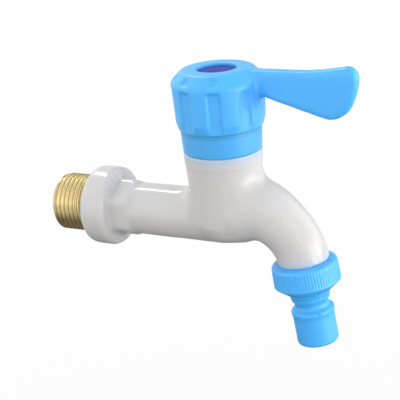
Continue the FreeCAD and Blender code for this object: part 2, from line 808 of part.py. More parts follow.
def make_spindle():
    """Spindle: dogs below, flange, sealed journal, clip groove and a square tang for the handle."""
    body = new_body("spindle", "tower_distance")
    journal = "spindle_journal / 2"
    groove = "seal_groove / 2"
    clip_low = "housing_height + running_gap"
    clip_top = f"{clip_low} + clip_thickness + fit_gap"
    revolve(body, "spindle_turning", [
        Corner("0", SPINDLE_FLANGE_LOW),
        Corner("spindle_flange / 2", SPINDLE_FLANGE_LOW),
        Corner("spindle_flange / 2", SPINDLE_FLANGE_TOP),
        Corner(journal, SPINDLE_FLANGE_TOP),
        Corner(journal, "lower_groove_height"),
        Corner(groove, "lower_groove_height"),
        Corner(groove, "lower_groove_height + seal_groove_height"),
        Corner(journal, "lower_groove_height + seal_groove_height"),
        Corner(journal, "upper_groove_height"),
        Corner(groove, "upper_groove_height"),
        Corner(groove, "upper_groove_height + seal_groove_height"),
        Corner(journal, "upper_groove_height + seal_groove_height"),
        Corner(journal, clip_low),
        Corner("clip_groove / 2", clip_low),
        Corner("clip_groove / 2", clip_top),
        Corner(journal, clip_top),
        Corner(journal, "tang_start"),
        Corner("0", "tang_start"),
    ])
    tang = outline(body, "tang_outline", centred_box("tang_width", "tang_width"), "XY_Plane",
                   shift=("0", "0", "tang_start"))
    extrude(body, "tang", tang, f"{TANG_TOP} - tang_start")
    dog_low = f"{DRIVE_DISC_TOP} - disc_key_depth + fit_gap"
    dog = outline(body, "dog_outline", rectangle("-disc_key_width / 2", "disc_key_start / 2",
                                                 "disc_key_width / 2", "spindle_flange / 2 - 0.2"),
                  "XY_Plane", shift=("0", "0", dog_low))
    first = extrude(body, "dog", dog, f"{SPINDLE_FLANGE_LOW} + 0.5 - ({dog_low})")
    polar_pair(body, "dogs", first)
    lug_low = "ledge_height - window_height + free_gap"
    lug = outline(body, "stop_outline", rectangle("-disc_key_width / 2", "disc_key_start / 2",
                                                  "disc_key_width / 2", "dog_reach / 2"),
                  "XY_Plane", shift=("0", "0", lug_low))
    stop = extrude(body, "stop_lug", lug, f"{SPINDLE_FLANGE_LOW} - ({lug_low})")
    polar_pair(body, "stop_lugs", stop)
    hole = outline(body, "screw_hole_outline", rectangle("0", f"{TANG_TOP} - screw_length", "screw_hole / 2",
                                                         f"{TANG_TOP} + 1"))
    drilled = body.newObject("PartDesign::Groove", "screw_hole")
    drilled.Profile = hole
    drilled.ReferenceAxis = (hole, ["V_Axis"])
    drilled.Angle = 360
    finish(body, drilled)
    return body


def make_o_ring(label, height):
    """Ring in one of the spindle's grooves, pressed flat inside and outside."""
    body = new_body(label, "tower_distance")
    inner = "seal_groove / 2 + face_gap"
    outer = f"{inner} + o_ring_section"
    cut = "0.3 * o_ring_section"
    low = f"{height} + (seal_groove_height - o_ring_section) / 2"
    high = f"{low} + o_ring_section"
    revolve(body, "ring", [
        Corner(inner, f"{low} + {cut}"),
        Corner(f"{inner} + {cut}", low),
        Corner(f"{outer} - {cut}", low),
        Corner(outer, f"{low} + {cut}"),
        Corner(outer, f"{high} - {cut}"),
        Corner(f"{outer} - {cut}", high),
        Corner(f"{inner} + {cut}", high),
        Corner(inner, f"{high} - {cut}"),
    ])
    return body


def make_thrust_washer():
    """Low-friction washer between the spindle's flange and the housing's roof."""
    body = new_body("thrust_washer", "tower_distance")
    revolve(body, "washer", ring_outline("spindle_journal + 2 * fit_gap", "spindle_flange", SPINDLE_FLANGE_TOP,
                                         f"{SPINDLE_FLANGE_TOP} + washer_thickness"))
    return body


def make_spindle_clip():
    """Open spring clip in the groove above the housing, which stops the spindle dropping."""
    body = new_body("spindle_clip", "tower_distance")
    low = "housing_height + running_gap + 0.02"
    revolve(body, "clip", ring_outline("clip_groove + fit_gap", "clip_width", low, f"{low} + clip_thickness"))
    mouth = outline(body, "mouth_outline", rectangle("0", "-clip_mouth / 2", "clip_width", "clip_mouth / 2"),
                    "XY_Plane", shift=("0", "0", "housing_height"))
    extrude(body, "mouth", mouth, "clip_thickness + 1", cut=True, reverse=True)
    return body


def make_bonnet_nut():
    """Blue nut that screws into the tower and clamps the cartridge; its band shows below the handle."""
    body = new_body("bonnet_nut", "tower_distance")
    recess = f"{BONNET_TOP} - bonnet_recess_depth"
    shank = "mouth_bore / 2 - fit_gap"
    revolve(body, "bonnet", [
        Corner("bonnet_bore / 2", FLANGE_TOP),
        Corner(shank, FLANGE_TOP),
        Corner(shank, "tower_top"),
        Corner("tower_mouth / 2", "tower_top"),
        Corner("bonnet_top / 2", BONNET_TOP),
        Corner("bonnet_recess_outer / 2", BONNET_TOP),
        Corner("bonnet_recess_outer / 2", recess),
        Corner("bonnet_recess_inner / 2", recess),
        Corner("bonnet_recess_inner / 2", BONNET_TOP),
        Corner("bonnet_bore / 2", BONNET_TOP),
    ])
    return body


def make_handle():
    """The lever handle: a hollow grooved cap with a hub, and a flat lever on edge, in one moulding."""
    body = new_body("handle", "tower_distance")
    roof = f"{HANDLE_TOP} - handle_roof"
    hub_head_low = f"{TANG_TOP} + fit_gap"
    add_lever(body)
    revolve(body, "cap", [
        Corner("screw_clearance / 2", "tang_start + fit_gap"),
        Corner("hub_diameter / 2", "tang_start + fit_gap"),
        Corner("hub_diameter / 2", hub_head_low),
        Corner("hub_head / 2", f"{hub_head_low} + hub_head_cone"),
        Corner("hub_head / 2", roof),
        Corner(f"{HANDLE_LIP} - handle_wall", roof),
        Corner(f"{HANDLE_LIP} - handle_wall", HANDLE_LOW),
        Corner(HANDLE_LIP, HANDLE_LOW),
        Corner(HANDLE_FOOT, f"{HANDLE_LOW} + handle_foot_height"),
        Corner("handle_shoulder / 2 - 0.02 * handle_shoulder_round",
               f"{HANDLE_SHOULDER} - 0.44 * handle_shoulder_round"),
        Corner("handle_shoulder / 2 - 0.31 * handle_shoulder_round",
               f"{HANDLE_SHOULDER} + 0.31 * handle_shoulder_round"),
        Corner(f"{HANDLE_CROWN} + 0.29 * handle_crown_round", f"{HANDLE_TOP} - 0.29 * handle_crown_round"),
        Corner(f"{HANDLE_CROWN} - 0.41 * handle_crown_round", HANDLE_TOP),
        Corner("index_recess / 2", HANDLE_TOP),
        Corner("index_recess / 2", INDEX_FLOOR),
        Corner("screw_clearance / 2", INDEX_FLOOR),
    ])
    cut_grip_grooves(body)
    socket = outline(body, "socket_outline", centred_box("tang_width + 2 * fit_gap", "tang_width + 2 * fit_gap"),
                     "XY_Plane", shift=("0", "0", "tang_start"))
    extrude(body, "socket", socket, f"{TANG_TOP} - tang_start + fit_gap", cut=True, reverse=True)
    return body


def add_lever(body):
    """The lever: an outline in the XZ plane, padded to its thickness, with its rim rounded."""
    tip = "lever_length"
    top = f"{HANDLE_TOP} - lever_tip_drop"
    root = "handle_shoulder / 2 - lever_root_sink"
    crown = f"{HANDLE_CROWN} - lever_crown_sink"
    sketch = outline(body, "lever_outline", [
        Corner(root, f"{HANDLE_TOP} - lever_root_drop"),
        Corner(f"{tip} - lever_heel_back", f"{top} - lever_heel_drop", "lever_heel_radius"),
        Corner(f"{tip} - lever_sole_back", f"{top} - lever_heel_drop", "lever_sole_radius"),
        Corner(f"{tip} - lever_chin_back", f"{top} - lever_chin_drop", "lever_chin_radius"),
        Corner(tip, top, "lever_tip_radius"),
        Corner(f"{tip} - lever_tip_back", f"{top} + lever_tip_rise", "lever_back_radius", "cw"),
        Corner(f"{tip} - lever_back_length", f"{top} + lever_back_rise"),
        Corner(crown, f"{HANDLE_TOP} - lever_crown_drop"),
        Corner(crown, f"{HANDLE_TOP} - handle_roof + 1"),
        Corner(root, f"{HANDLE_TOP} - handle_roof + 1"),
    ])
    extrude(body, "lever", sketch, "lever_thickness", symmetric=True)
    half = number("lever_thickness") / 2
    outside = number("handle_shoulder / 2")

    def is_lever_rim(edge):
        """Edges of the lever's two flat sides, apart from its root inside the cap."""
        box = edge.BoundBox
        return box.YLength < 0.01 and abs(abs(box.YMin) - half) < 0.01 and box.XMax > outside

    round_edges(body, "lever_rim", "lever_edge", is_lever_rim)


def cut_grip_grooves(body):
    """Eight wide grooves down the cap's side, four on each side of the lever, each with a small notch above it."""
    floor_low = f"{HANDLE_FOOT} - groove_depth"
    floor_top = "handle_shoulder / 2 - groove_depth"
    groove_high = f"{HANDLE_SHOULDER} - groove_top"
    outside = "handle_shoulder"
    side = [
        Corner(floor_low, f"{HANDLE_LOW} - 1"),
        Corner(outside, f"{HANDLE_LOW} - 1"),
        Corner(outside, groove_high),
        Corner(floor_top, groove_high),
    ]
    rise = "handle_crown_height"
    run = "handle_crown_run"
    notch = [
        Corner(f"handle_shoulder / 2 - 0.25 * {run}", f"{HANDLE_SHOULDER} + 0.25 * {rise} - notch_depth"),
        Corner(f"handle_shoulder / 2 - 0.25 * {run} + 2", f"{HANDLE_SHOULDER} + 0.25 * {rise} + 2"),
        Corner(f"handle_shoulder / 2 - 0.78 * {run} + 2", f"{HANDLE_SHOULDER} + 0.78 * {rise} + 2"),
        Corner(f"handle_shoulder / 2 - 0.78 * {run}", f"{HANDLE_SHOULDER} + 0.78 * {rise} - notch_depth"),
    ]
    for side_name, first in (("far", "groove_first"), ("near", "360 - groove_first - 3 * groove_pitch")):
        spin = ((0, 1, 0), first)
        cut = revolve(body, f"{side_name}_groove", side, cut=True, angle="groove_angle", spin=spin)
        polar(body, f"{side_name}_grooves", cut, "4", "3 * groove_pitch")
        dent = revolve(body, f"{side_name}_notch", notch, cut=True, angle="notch_angle", spin=spin)
        polar(body, f"{side_name}_notches", dent, "4", "3 * groove_pitch")


def make_index_button():
    """Coloured index button: a disc with a short skirt, pressed into the handle's recess."""
    body = new_body("index_button", "tower_distance")
    top = f"{HANDLE_TOP} - button_sink"
    outside = "index_recess / 2 - fit_gap"
    revolve(body, "button", [
        Corner("0", f"{top} - button_thickness"),
        Corner(f"{outside} - button_wall", f"{top} - button_thickness"),
        Corner(f"{outside} - button_wall", INDEX_FLOOR),
        Corner(outside, INDEX_FLOOR),
        Corner(outside, top),
        Corner("0", top),
    ])
    return body


def make_handle_screw():
    """Pan-head screw that holds the handle on the spindle."""
    body = new_body("handle_screw", "tower_distance")
    revolve(body, "screw", [
        Corner("0", f"{TANG_TOP} - screw_length + 0.6"),
        Corner("screw_hole / 2 - fit_gap", f"{TANG_TOP} - screw_length + 1.6"),
        Corner("screw_hole / 2 - fit_gap", INDEX_FLOOR),
        Corner("screw_head / 2", INDEX_FLOOR),
        Corner("screw_head / 2", f"{INDEX_FLOOR} + 0.5 * screw_head_height"),
        Corner("screw_head / 2 - 1", f"{INDEX_FLOOR} + screw_head_height"),
        Corner("0", f"{INDEX_FLOOR} + screw_head_height"),
    ])
    bar = outline(body, "cross_outline", centred_box("screw_cross_span", "screw_cross"), "XY_Plane",
                  shift=("0", "0", f"{INDEX_FLOOR} + screw_head_height - screw_cross_depth"))
    first = extrude(body, "cross_bar", bar, "screw_cross_depth + 1", cut=True, reverse=True)
    feature = body.newObject("PartDesign::PolarPattern", "cross")
    feature.Originals = [first]
    feature.Axis = (origin_part(body, "Z_Axis"), [""])
    feature.Angle = 90
    feature.Occurrences = 2
    finish(body, feature)
    return body


def outlet_body(label):
    """Start a piece on the outlet's axis: its own +Z runs down the axis from the spout's end."""
    return new_body(label, "tower_distance + outlet_reach", "-outlet_drop", TURNED_DOWN)


def make_hose_nut():
    """Ribbed union nut that holds the hose nozzle against the spout's end."""
    body = outlet_body("hose_nut")
    shoulder = "nut_start + nut_height"
    base = f"{shoulder} + nut_chamfer_height"
    bottom = f"{base} + nut_cone_height"
    floor = f"{nozzle_marks()[1]} + face_gap"
    revolve(body, "nut", [
        Corner("nut_bore / 2", "nut_start"),
        Corner("nut_top / 2 - nut_rim_round", "nut_start"),
        Corner("nut_top / 2", "nut_start + nut_rim_round"),
        Corner("nut_bottom / 2", shoulder),
        Corner("nut_chamfer / 2", base),
        Corner("nut_cone / 2", bottom),
        Corner("nut_hole / 2", bottom),
        Corner("nut_hole / 2", floor),
        Corner("nut_bore / 2", floor),
    ])
    low = "nut_start + nut_rib_margin"
    high = f"{shoulder} - nut_rib_margin"
    slot = outline(body, "rib_gap_outline", rectangle("nut_top / 2 - rib_depth", "-rib_width / 2",
                                                      "nut_bottom / 2 + 1", "rib_width / 2"),
                   "XY_Plane", shift=("0", "0", low))
    gap = extrude(body, "rib_gap", slot, f"{high} - ({low})", cut=True, reverse=True)
    polar(body, "rib_gaps", gap, "rib_count", "360")
    return body


def nozzle_marks():
    """Heights down the nozzle where its section changes, from the flange to the end."""
    heights = ["outlet_thread_length + face_gap + nozzle_washer_thickness"]
    for step in ("nozzle_flange_height", "nozzle_shank_length", "0.5", "nozzle_ring_length", "nozzle_slope",
                 "nozzle_neck_length", "nozzle_slope", "nozzle_bead_length", "nozzle_line_length",
                 "nozzle_spigot_length", "nozzle_end_round"):
        heights.append(f"{heights[-1]} + {step}")
    return heights


def make_hose_nozzle():
    """Turned hose nozzle: flange, shank, neck, bead and a plain spigot for the hose."""
    body = outlet_body("hose_nozzle")
    mark = nozzle_marks()
    revolve(body, "nozzle", [
        Corner("nozzle_bore / 2", mark[0]),
        Corner("nozzle_flange / 2", mark[0]),
        Corner("nozzle_flange / 2", mark[1]),
        Corner("nozzle_shank / 2", mark[1]),
        Corner("nozzle_shank / 2", mark[2]),
        Corner("nozzle_ring / 2", mark[3]),
        Corner("nozzle_ring / 2", mark[4]),
        Corner("nozzle_neck / 2", mark[5]),
        Corner("nozzle_neck / 2", mark[6]),
        Corner("nozzle_bead / 2", mark[7], "8"),
        Corner("nozzle_line / 2", mark[8]),
        Corner("nozzle_spigot / 2", mark[9]),
        *stepped_round("nozzle_spigot / 2 - nozzle_end_round", mark[10], "nozzle_end_round", 0, 90),
        Corner("nozzle_bore / 2", mark[11]),
    ])
    return body


def make_nozzle_washer():
    """Flat rubber washer between the spout's end and the nozzle's flange."""
    body = outlet_body("nozzle_washer")
    low = "outlet_thread_length + face_gap"
    revolve(body, "washer", ring_outline("nozzle_washer_bore", "nozzle_flange", low,
                                         f"{low} + nozzle_washer_thickness"))
    return body


def check_document():
    """Stop if any object failed or any piece isn't one sound solid."""
    for item in doc.Objects:
        if "Invalid" in item.State or "Error" in item.State:
            raise RuntimeError(f"{item.Label} failed: {item.State}")
    for body in nodes:
        shape = body.Shape
        if shape.isNull() or not shape.isValid() or len(shape.Solids) != 1:
            raise RuntimeError(f"{body.Label} is not one valid solid")


make_tap_body()
make_inlet_insert()
make_seat_seal()
make_seal_support_ring()
make_fixed_disc()
make_drive_disc()
make_cartridge_housing()
make_cartridge_seal_ring()
make_spindle()
make_o_ring("spindle_o_ring_lower", "lower_groove_height")
make_o_ring("spindle_o_ring_upper", "upper_groove_height")
make_thrust_washer()
make_spindle_clip()
make_bonnet_nut()
make_handle()
make_index_button()
make_handle_screw()
make_hose_nut()
make_hose_nozzle()
make_nozzle_washer()
doc.recompute()
check_document()

os.makedirs("parts", exist_ok=True)
for piece in nodes:
    piece.Shape.exportStep(f"parts/{piece.Label}.step")
    print(f"{piece.Label}: {piece.Shape.Volume:.1f} mm3, {len(piece.Shape.Faces)} faces")
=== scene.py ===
"""Looks of a plastic bib tap: soft moulded body, brass wall thread, lever handle and hose nozzle."""
import json
import logging
import math
from dataclasses import dataclass
from enum import Enum

import bmesh
import bpy
from mathutils import Matrix, Vector

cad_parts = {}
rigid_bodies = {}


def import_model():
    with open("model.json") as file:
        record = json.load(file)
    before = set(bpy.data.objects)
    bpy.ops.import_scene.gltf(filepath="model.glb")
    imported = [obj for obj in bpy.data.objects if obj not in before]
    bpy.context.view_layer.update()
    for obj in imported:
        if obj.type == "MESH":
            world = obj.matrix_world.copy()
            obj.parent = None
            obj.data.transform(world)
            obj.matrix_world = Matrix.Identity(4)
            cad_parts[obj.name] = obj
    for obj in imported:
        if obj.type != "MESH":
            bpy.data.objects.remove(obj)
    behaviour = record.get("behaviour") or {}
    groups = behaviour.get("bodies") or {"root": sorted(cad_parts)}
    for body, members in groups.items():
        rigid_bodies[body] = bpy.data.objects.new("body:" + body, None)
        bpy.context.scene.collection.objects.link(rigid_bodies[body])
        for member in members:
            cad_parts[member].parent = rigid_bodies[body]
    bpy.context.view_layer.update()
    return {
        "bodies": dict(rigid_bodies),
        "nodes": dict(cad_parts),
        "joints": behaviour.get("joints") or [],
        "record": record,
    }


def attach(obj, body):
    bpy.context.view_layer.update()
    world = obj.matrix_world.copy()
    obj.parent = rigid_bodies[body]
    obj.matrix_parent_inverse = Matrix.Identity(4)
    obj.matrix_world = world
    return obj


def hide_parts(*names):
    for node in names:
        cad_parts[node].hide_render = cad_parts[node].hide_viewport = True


LOG = logging.getLogger("bib_tap")
MM = 0.001
TURN = 2 * math.pi
LOW = -math.inf
HIGH = math.inf
Colour = tuple[float, float, float]
Point = tuple[float, float, float]
Range = tuple[float, float]
Band = tuple[float, float, float, float]

# A noise pattern mostly stays between these two values
PATTERN = (0.3, 0.7)

# The valve's axis and the outlet's axis, in millimetres in the part's own frame
TOWER = Vector((53.2, 0, 0))
OUTLET = Vector((80.48, 0, -12.77))
OUTLET_LEAN = math.radians(7.6)


class Slot(Enum):
    """The record's material slots."""

    WHITE = "white_plastic"
    BLUE = "blue_plastic"
    INDEX = "index_plastic"
    BRASS = "brass"
    CERAMIC = "ceramic"
    CARTRIDGE = "cartridge_plastic"
    RUBBER = "rubber"
    STEEL = "steel"


class Body(Enum):
    """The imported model's bodies."""

    TAP = "tap"
    HANDLE = "handle"
    NOZZLE = "nozzle"
    NUT = "nut"


class Nodes:
    """A small builder for one node tree."""

    def __init__(self, tree: bpy.types.NodeTree, coordinates: str) -> None:
        """Start on a tree that already holds its shader and output.

        Args:
            tree: the material's or the world's nodes.
            coordinates: which texture coordinates its patterns use.
        """
        self.tree = tree
        self.place = self.add("ShaderNodeTexCoord").outputs[coordinates]

    def add(self, kind: str, **settings: object) -> bpy.types.Node:
        """Add one node and set its attributes.

        Args:
            kind: the node's Blender type.
            settings: attributes and their values.

        Returns:
            The new node.
        """
        node = self.tree.nodes.new(kind)
        for key, value in settings.items():
            setattr(node, key, value)
        return node

    def link(self, source: bpy.types.NodeSocket, target: bpy.types.NodeSocket) -> None:
        """Join two sockets."""
        self.tree.links.new(source, target)

    def output(self, kind: str) -> bpy.types.NodeSocket:
        """Give the surface socket of the tree's output, whose type is given."""
        return next(node for node in self.tree.nodes if node.type == kind).inputs["Surface"]

    def mapped(self, value: bpy.types.NodeSocket, source: Range, target: Range, kind: str = "LINEAR"
               ) -> bpy.types.NodeSocket:
        """Carry a value over from one range to another.

        Args:
            value: the value.
            source: where its range starts and ends.
            target: the results at those two.
            kind: how it goes from the one to the other.

        Returns:
            The result's socket.
        """
        ranged = self.add("ShaderNodeMapRange", interpolation_type=kind)
        ranged.inputs["From Min"].default_value = source[0]
        ranged.inputs["From Max"].default_value = source[1]
        ranged.inputs["To Min"].default_value = target[0]
        ranged.inputs["To Max"].default_value = target[1]
        self.link(value, ranged.inputs["Value"])
        return ranged.outputs["Result"]

    def ramp(self, length: bpy.types.NodeSocket, reach: Range, share: Range) -> bpy.types.NodeSocket:
        """Go smoothly from one share to another as a length grows.

        Args:
            length: the length, in metres.
            reach: where it starts and ends, in millimetres.
            share: the two shares.

        Returns:
            The result's socket.
        """
        return self.mapped(length, (reach[0] * MM, reach[1] * MM), share, "SMOOTHSTEP")

    def along(self, way: Vector) -> bpy.types.NodeSocket:
        """Give how far a point lies from the origin in one direction."""
        along = self.add("ShaderNodeVectorMath", operation="DOT_PRODUCT")
        along.inputs[1].default_value = way
        self.link(self.place, along.inputs[0])
        return along.outputs["Value"]

    def away(self, centre: Point) -> bpy.types.NodeSocket:
        """Give the distance, in metres, from a point given in millimetres."""
        away = self.add("ShaderNodeVectorMath", operation="DISTANCE")
        away.inputs[1].default_value = Vector(centre) * MM
        self.link(self.place, away.inputs[0])
        return away.outputs["Value"]

    def joined(self, first: bpy.types.NodeSocket, second: bpy.types.NodeSocket, operation: str = "MAXIMUM"
               ) -> bpy.types.NodeSocket:
        """Give the higher of two values, or what another operation makes of them.

        Args:
            first: the one value.
            second: the other value.
            operation: the math node's operation.

        Returns:
            The result's socket.
        """
        both = self.add("ShaderNodeMath", operation=operation)
        self.link(first, both.inputs[0])
        self.link(second, both.inputs[1])
        return both.outputs[0]

    def scaled(self, value: bpy.types.NodeSocket, factor: float) -> bpy.types.NodeSocket:
        """Give a value times a fixed factor."""
        product = self.add("ShaderNodeMath", operation="MULTIPLY")
        product.inputs[1].default_value = factor
        self.link(value, product.inputs[0])
        return product.outputs[0]

    def blend(self, share: bpy.types.NodeSocket, first: bpy.types.NodeSocket, second: bpy.types.NodeSocket
              ) -> bpy.types.NodeSocket:
        """Go from one shader to another.

        Args:
            share: how much of the second, 0 to 1.
            first: the one shader's output.
            second: the other shader's output.

        Returns:
            The result's socket.
        """
        mix = self.add("ShaderNodeMixShader")
        self.link(share, mix.inputs["Fac"])
        self.link(first, mix.inputs[1])
        self.link(second, mix.inputs[2])
        return mix.outputs["Shader"]


class Surface(Nodes):
    """A builder for one material's nodes."""

    def __init__(self, name: str) -> None:
        """Start a material with only its shader and output.

        Args:
            name: the material's name.
        """
        self.material = bpy.data.materials.new(name)
        self.material.use_nodes = True
        super().__init__(self.material.node_tree, "Object")
        self.shader = self.tree.nodes["Principled BSDF"]

    def noise(self, scale: float, detail: float, stretch: Point = (1, 1, 1)) -> bpy.types.NodeSocket:
        """Add a noise pattern on the piece's own coordinates.

        Args:
            scale: cells per metre.
            detail: octaves.
            stretch: scale along each axis.

        Returns:
            The pattern's value socket.
        """
        mapping = self.add("ShaderNodeMapping")
        mapping.inputs["Scale"].default_value = stretch
        self.link(self.place, mapping.inputs["Vector"])
        noise = self.add("ShaderNodeTexNoise")
        noise.inputs["Scale"].default_value = scale
        noise.inputs["Detail"].default_value = detail
        self.link(mapping.outputs["Vector"], noise.inputs["Vector"])
        return noise.outputs["Fac"]

    def roughen(self, pattern: bpy.types.NodeSocket, roughness: float, less: float, more: float) -> None:
        """Vary the roughness by a noise pattern.

        Args:
            pattern: the pattern.
            roughness: the middle value.
            less: how far it goes below that.
            more: how far it goes above that.
        """
        spread = self.mapped(pattern, PATTERN, (roughness - less, roughness + more))
        self.link(spread, self.shader.inputs["Roughness"])

    def tint(self, pattern: bpy.types.NodeSocket, first: Colour, second: Colour) -> None:
        """Vary the base colour between two colours by a noise pattern.

        Args:
            pattern: the pattern.
            first: colour at the pattern's low end.
            second: colour at its high end.
        """
        self.link(self.coloured(pattern, PATTERN, first, second), self.shader.inputs["Base Color"])

    def coloured(self, value: bpy.types.NodeSocket, reach: Range, first: Colour, second: Colour
                 ) -> bpy.types.NodeSocket:
        """Go from one colour to another as a value grows.

        Args:
            value: the value.
            reach: where it starts and ends.
            first: colour at the start.
            second: colour at the end.

        Returns:
            The colour's socket.
        """
        ramp = self.add("ShaderNodeValToRGB")
        for element, position, colour in zip(ramp.color_ramp.elements, reach, (first, second)):
            element.position = position
            element.color = (*colour, 1)
        self.link(value, ramp.inputs["Fac"])
        return ramp.outputs["Color"]

    def painted_light(self, amount: bpy.types.NodeSocket, colour: Colour) -> None:
        """Mix another colour into the base colour where a value says so; every use paints light or shade.

        Args:
            amount: how much of it, 0 to 1.
            colour: the other colour.
        """
        mix = self.add("ShaderNodeMix", data_type="RGBA")
        plain, other = [socket for socket in mix.inputs if socket.type == "RGBA"]
        self.link(amount, mix.inputs["Factor"])
        self.link(self.shader.inputs["Base Color"].links[0].from_socket, plain)
        other.default_value = (*colour, 1)
        result = next(socket for socket in mix.outputs if socket.type == "RGBA")
        self.link(result, self.shader.inputs["Base Color"])

    def bump(self, height: bpy.types.NodeSocket, strength: float, distance: float) -> None:
        """Bend the normals by a height pattern, over any bump already there.

        Args:
            height: the pattern.
            strength: 0 to 1.
            distance: height in metres.
        """
        bump = self.add("ShaderNodeBump")
        bump.inputs["Strength"].default_value = strength
        bump.inputs["Distance"].default_value = distance
        self.link(height, bump.inputs["Height"])
        previous = self.shader.inputs["Normal"]
        if previous.is_linked:
            self.link(previous.links[0].from_socket, bump.inputs["Normal"])
        self.link(bump.outputs["Normal"], previous)


@dataclass(frozen=True)
class PlasticFinish:
    """A moulded plastic: body colour with faint flow marks, a fine skin and some light carried inside.

    Scales are in cells per metre, heights and reaches in metres.
    """

    name: str
    colour: Colour
    flow_colour: Colour
    roughness: float
    depth: float
    glow: Colour
    gloss: float = 0.5
    refraction: float = 1.49
    glow_reach: float = 0.004
    flow_scale: float = 45
    flow_stretch: Point = (1, 1, 0.6)
    patch_scale: float = 160
    patch_spread: Range = (0.04, 0.06)
    skin_scale: float = 900
    skin_strength: float = 0.12
    skin_height: float = 0.00003
    wave_scale: float = 70
    wave_strength: float = 0.1
    wave_height: float = 0.0001

    def make(self) -> bpy.types.Material:
        """Build the material."""
        return self.dress().material

    def dress(self) -> Surface:
        """Build the finish's nodes."""
        nodes = Surface(self.name)
        nodes.tint(nodes.noise(self.flow_scale, 3, self.flow_stretch), self.colour, self.flow_colour)
        nodes.roughen(nodes.noise(self.patch_scale, 4), self.roughness, *self.patch_spread)
        nodes.shader.inputs["IOR"].default_value = self.refraction
        nodes.shader.inputs["Subsurface Weight"].default_value = self.depth
        nodes.shader.inputs["Subsurface Radius"].default_value = self.glow
        nodes.shader.inputs["Subsurface Scale"].default_value = self.glow_reach
        nodes.shader.inputs["Specular IOR Level"].default_value = self.gloss
        nodes.bump(nodes.noise(self.skin_scale, 4), self.skin_strength, self.skin_height)
        nodes.bump(nodes.noise(self.wave_scale, 2), self.wave_strength, self.wave_height)
        return nodes


@dataclass(frozen=True)
class BouncePaintedPlastic(PlasticFinish):
    """The white moulding, with painted bluish bounce light close to the two blue pieces that sit on it.

    The painted bands are in millimetres, at the tower's mouth from the origin up and at the spout's end from
    there down.
    """

    # Colour of the painted bounce light from the blue pieces
    painted_light: Colour = (0.33, 0.53, 0.76)
    most: float = 0.62
    mouth: Band = (21.8, 25.1, 27, 29)
    outlet: Band = (-3.2, 0.5, 0.6, 2.2)

    def make(self) -> bpy.types.Material:
        """Build the material."""
        nodes = self.dress()
        down = Vector((math.sin(OUTLET_LEAN), 0, -math.cos(OUTLET_LEAN)))
        end = down.dot(OUTLET)
        mouth = self.band(nodes, Vector((0, 0, 1)), self.mouth)
        outlet = self.band(nodes, down, tuple(end + step for step in self.outlet))
        # Paint the bluish bounce light into both bands
        nodes.painted_light(nodes.joined(mouth, outlet), self.painted_light)
        return nodes.material

    def band(self, nodes: Nodes, way: Vector, reach: Band) -> bpy.types.NodeSocket:
        """Rise from nothing to the most between two planes and fall back to nothing between two more.

        Args:
            nodes: the finish's nodes.
            way: the direction that the planes face.
            reach: the planes' distances from the origin, in millimetres.

        Returns:
            The value's socket.
        """
        along = nodes.along(way)
        rise = nodes.ramp(along, reach[:2], (0, self.most))
        fall = nodes.ramp(along, reach[2:], (self.most, 0))
        return nodes.joined(rise, fall, "MINIMUM")


@dataclass(frozen=True)
class ShadePaintedPlastic(PlasticFinish):
    """The blue moulding, with painted shade at the lever's root, on a tiny pit on the nozzle's bead and on
    the band under the handle.

    Points and reaches are in millimetres.
    """

    # Colour of the painted shade at the lever's root and on the pit
    shade_blue: Colour = (0.006, 0.3, 0.88)
    # Painted shade where the lever leaves the cap, on both sides
    root_shades: tuple[Point, Point] = ((68.0, -4.6, 45.0), (68.0, 4.6, 45.0))
    root_shade_reach: Range = (0.5, 6.2)
    root_shade_share: float = 0.9
    # Painted shade of a tiny pit on the nozzle's bead
    pit_shade: Point = (87.75, -5.86, -29.97)
    pit_shade_reach: Range = (0.3, 0.9)
    # Painted shade on the bonnet's band, darkest just under the handle's lip
    wear_and_shade: Colour = (0.035, 0.31, 0.66)
    band_foot: Range = (20.0, 24.0)
    band_lip: Range = (30.6, 32.6)
    band_end: Range = (33.2, 33.35)
    band_shade_share: float = 0.35
    lip_shade_share: float = 0.95

    def make(self) -> bpy.types.Material:
        """Build the material."""
        nodes = self.dress()
        # Paint shade where the lever leaves the cap
        root_shades = [nodes.ramp(nodes.away(root), self.root_shade_reach, (self.root_shade_share, 0)) for root in self.root_shades]
        # Paint the pit's shade on the bead
        pit_shade = nodes.ramp(nodes.away(self.pit_shade), self.pit_shade_reach, (1, 0))
        nodes.painted_light(nodes.joined(nodes.joined(*root_shades), pit_shade), self.shade_blue)
        height = nodes.along(Vector((0, 0, 1)))
        band = nodes.ramp(height, self.band_foot, (0, self.band_shade_share))
        lip = nodes.ramp(height, self.band_lip, (0, self.lip_shade_share))
        end = nodes.ramp(height, self.band_end, (1, 0))
        # Paint shade on the bonnet's band, strongest under the handle's lip
        nodes.painted_light(nodes.joined(nodes.joined(band, lip), end, "MINIMUM"), self.wear_and_shade)
        return nodes.material


@dataclass(frozen=True)
class MetalFinish:
    """A bare metal with cutting marks across one axis and duller patches.

    Scales are in cells per metre and the marks' height in metres.
    """

    name: str
    colour: Colour
    dull: Colour
    roughness: float
    marks: Point
    dull_scale: float = 220
    patch_scale: float = 300
    patch_spread: Range = (0.05, 0.1)
    mark_scale: float = 2500
    mark_strength: float = 0.1
    mark_height: float = 0.00002

    def make(self) -> bpy.types.Material:
        """Build the material."""
        return self.dress().material

    def dress(self) -> Surface:
        """Build the finish's nodes."""
        nodes = Surface(self.name)
        nodes.shader.inputs["Metallic"].default_value = 1.0
        nodes.tint(nodes.noise(self.dull_scale, 4), self.colour, self.dull)
        nodes.roughen(nodes.noise(self.patch_scale, 5), self.roughness, *self.patch_spread)
        nodes.bump(nodes.noise(self.mark_scale, 3, self.marks), self.mark_strength, self.mark_height)
        return nodes


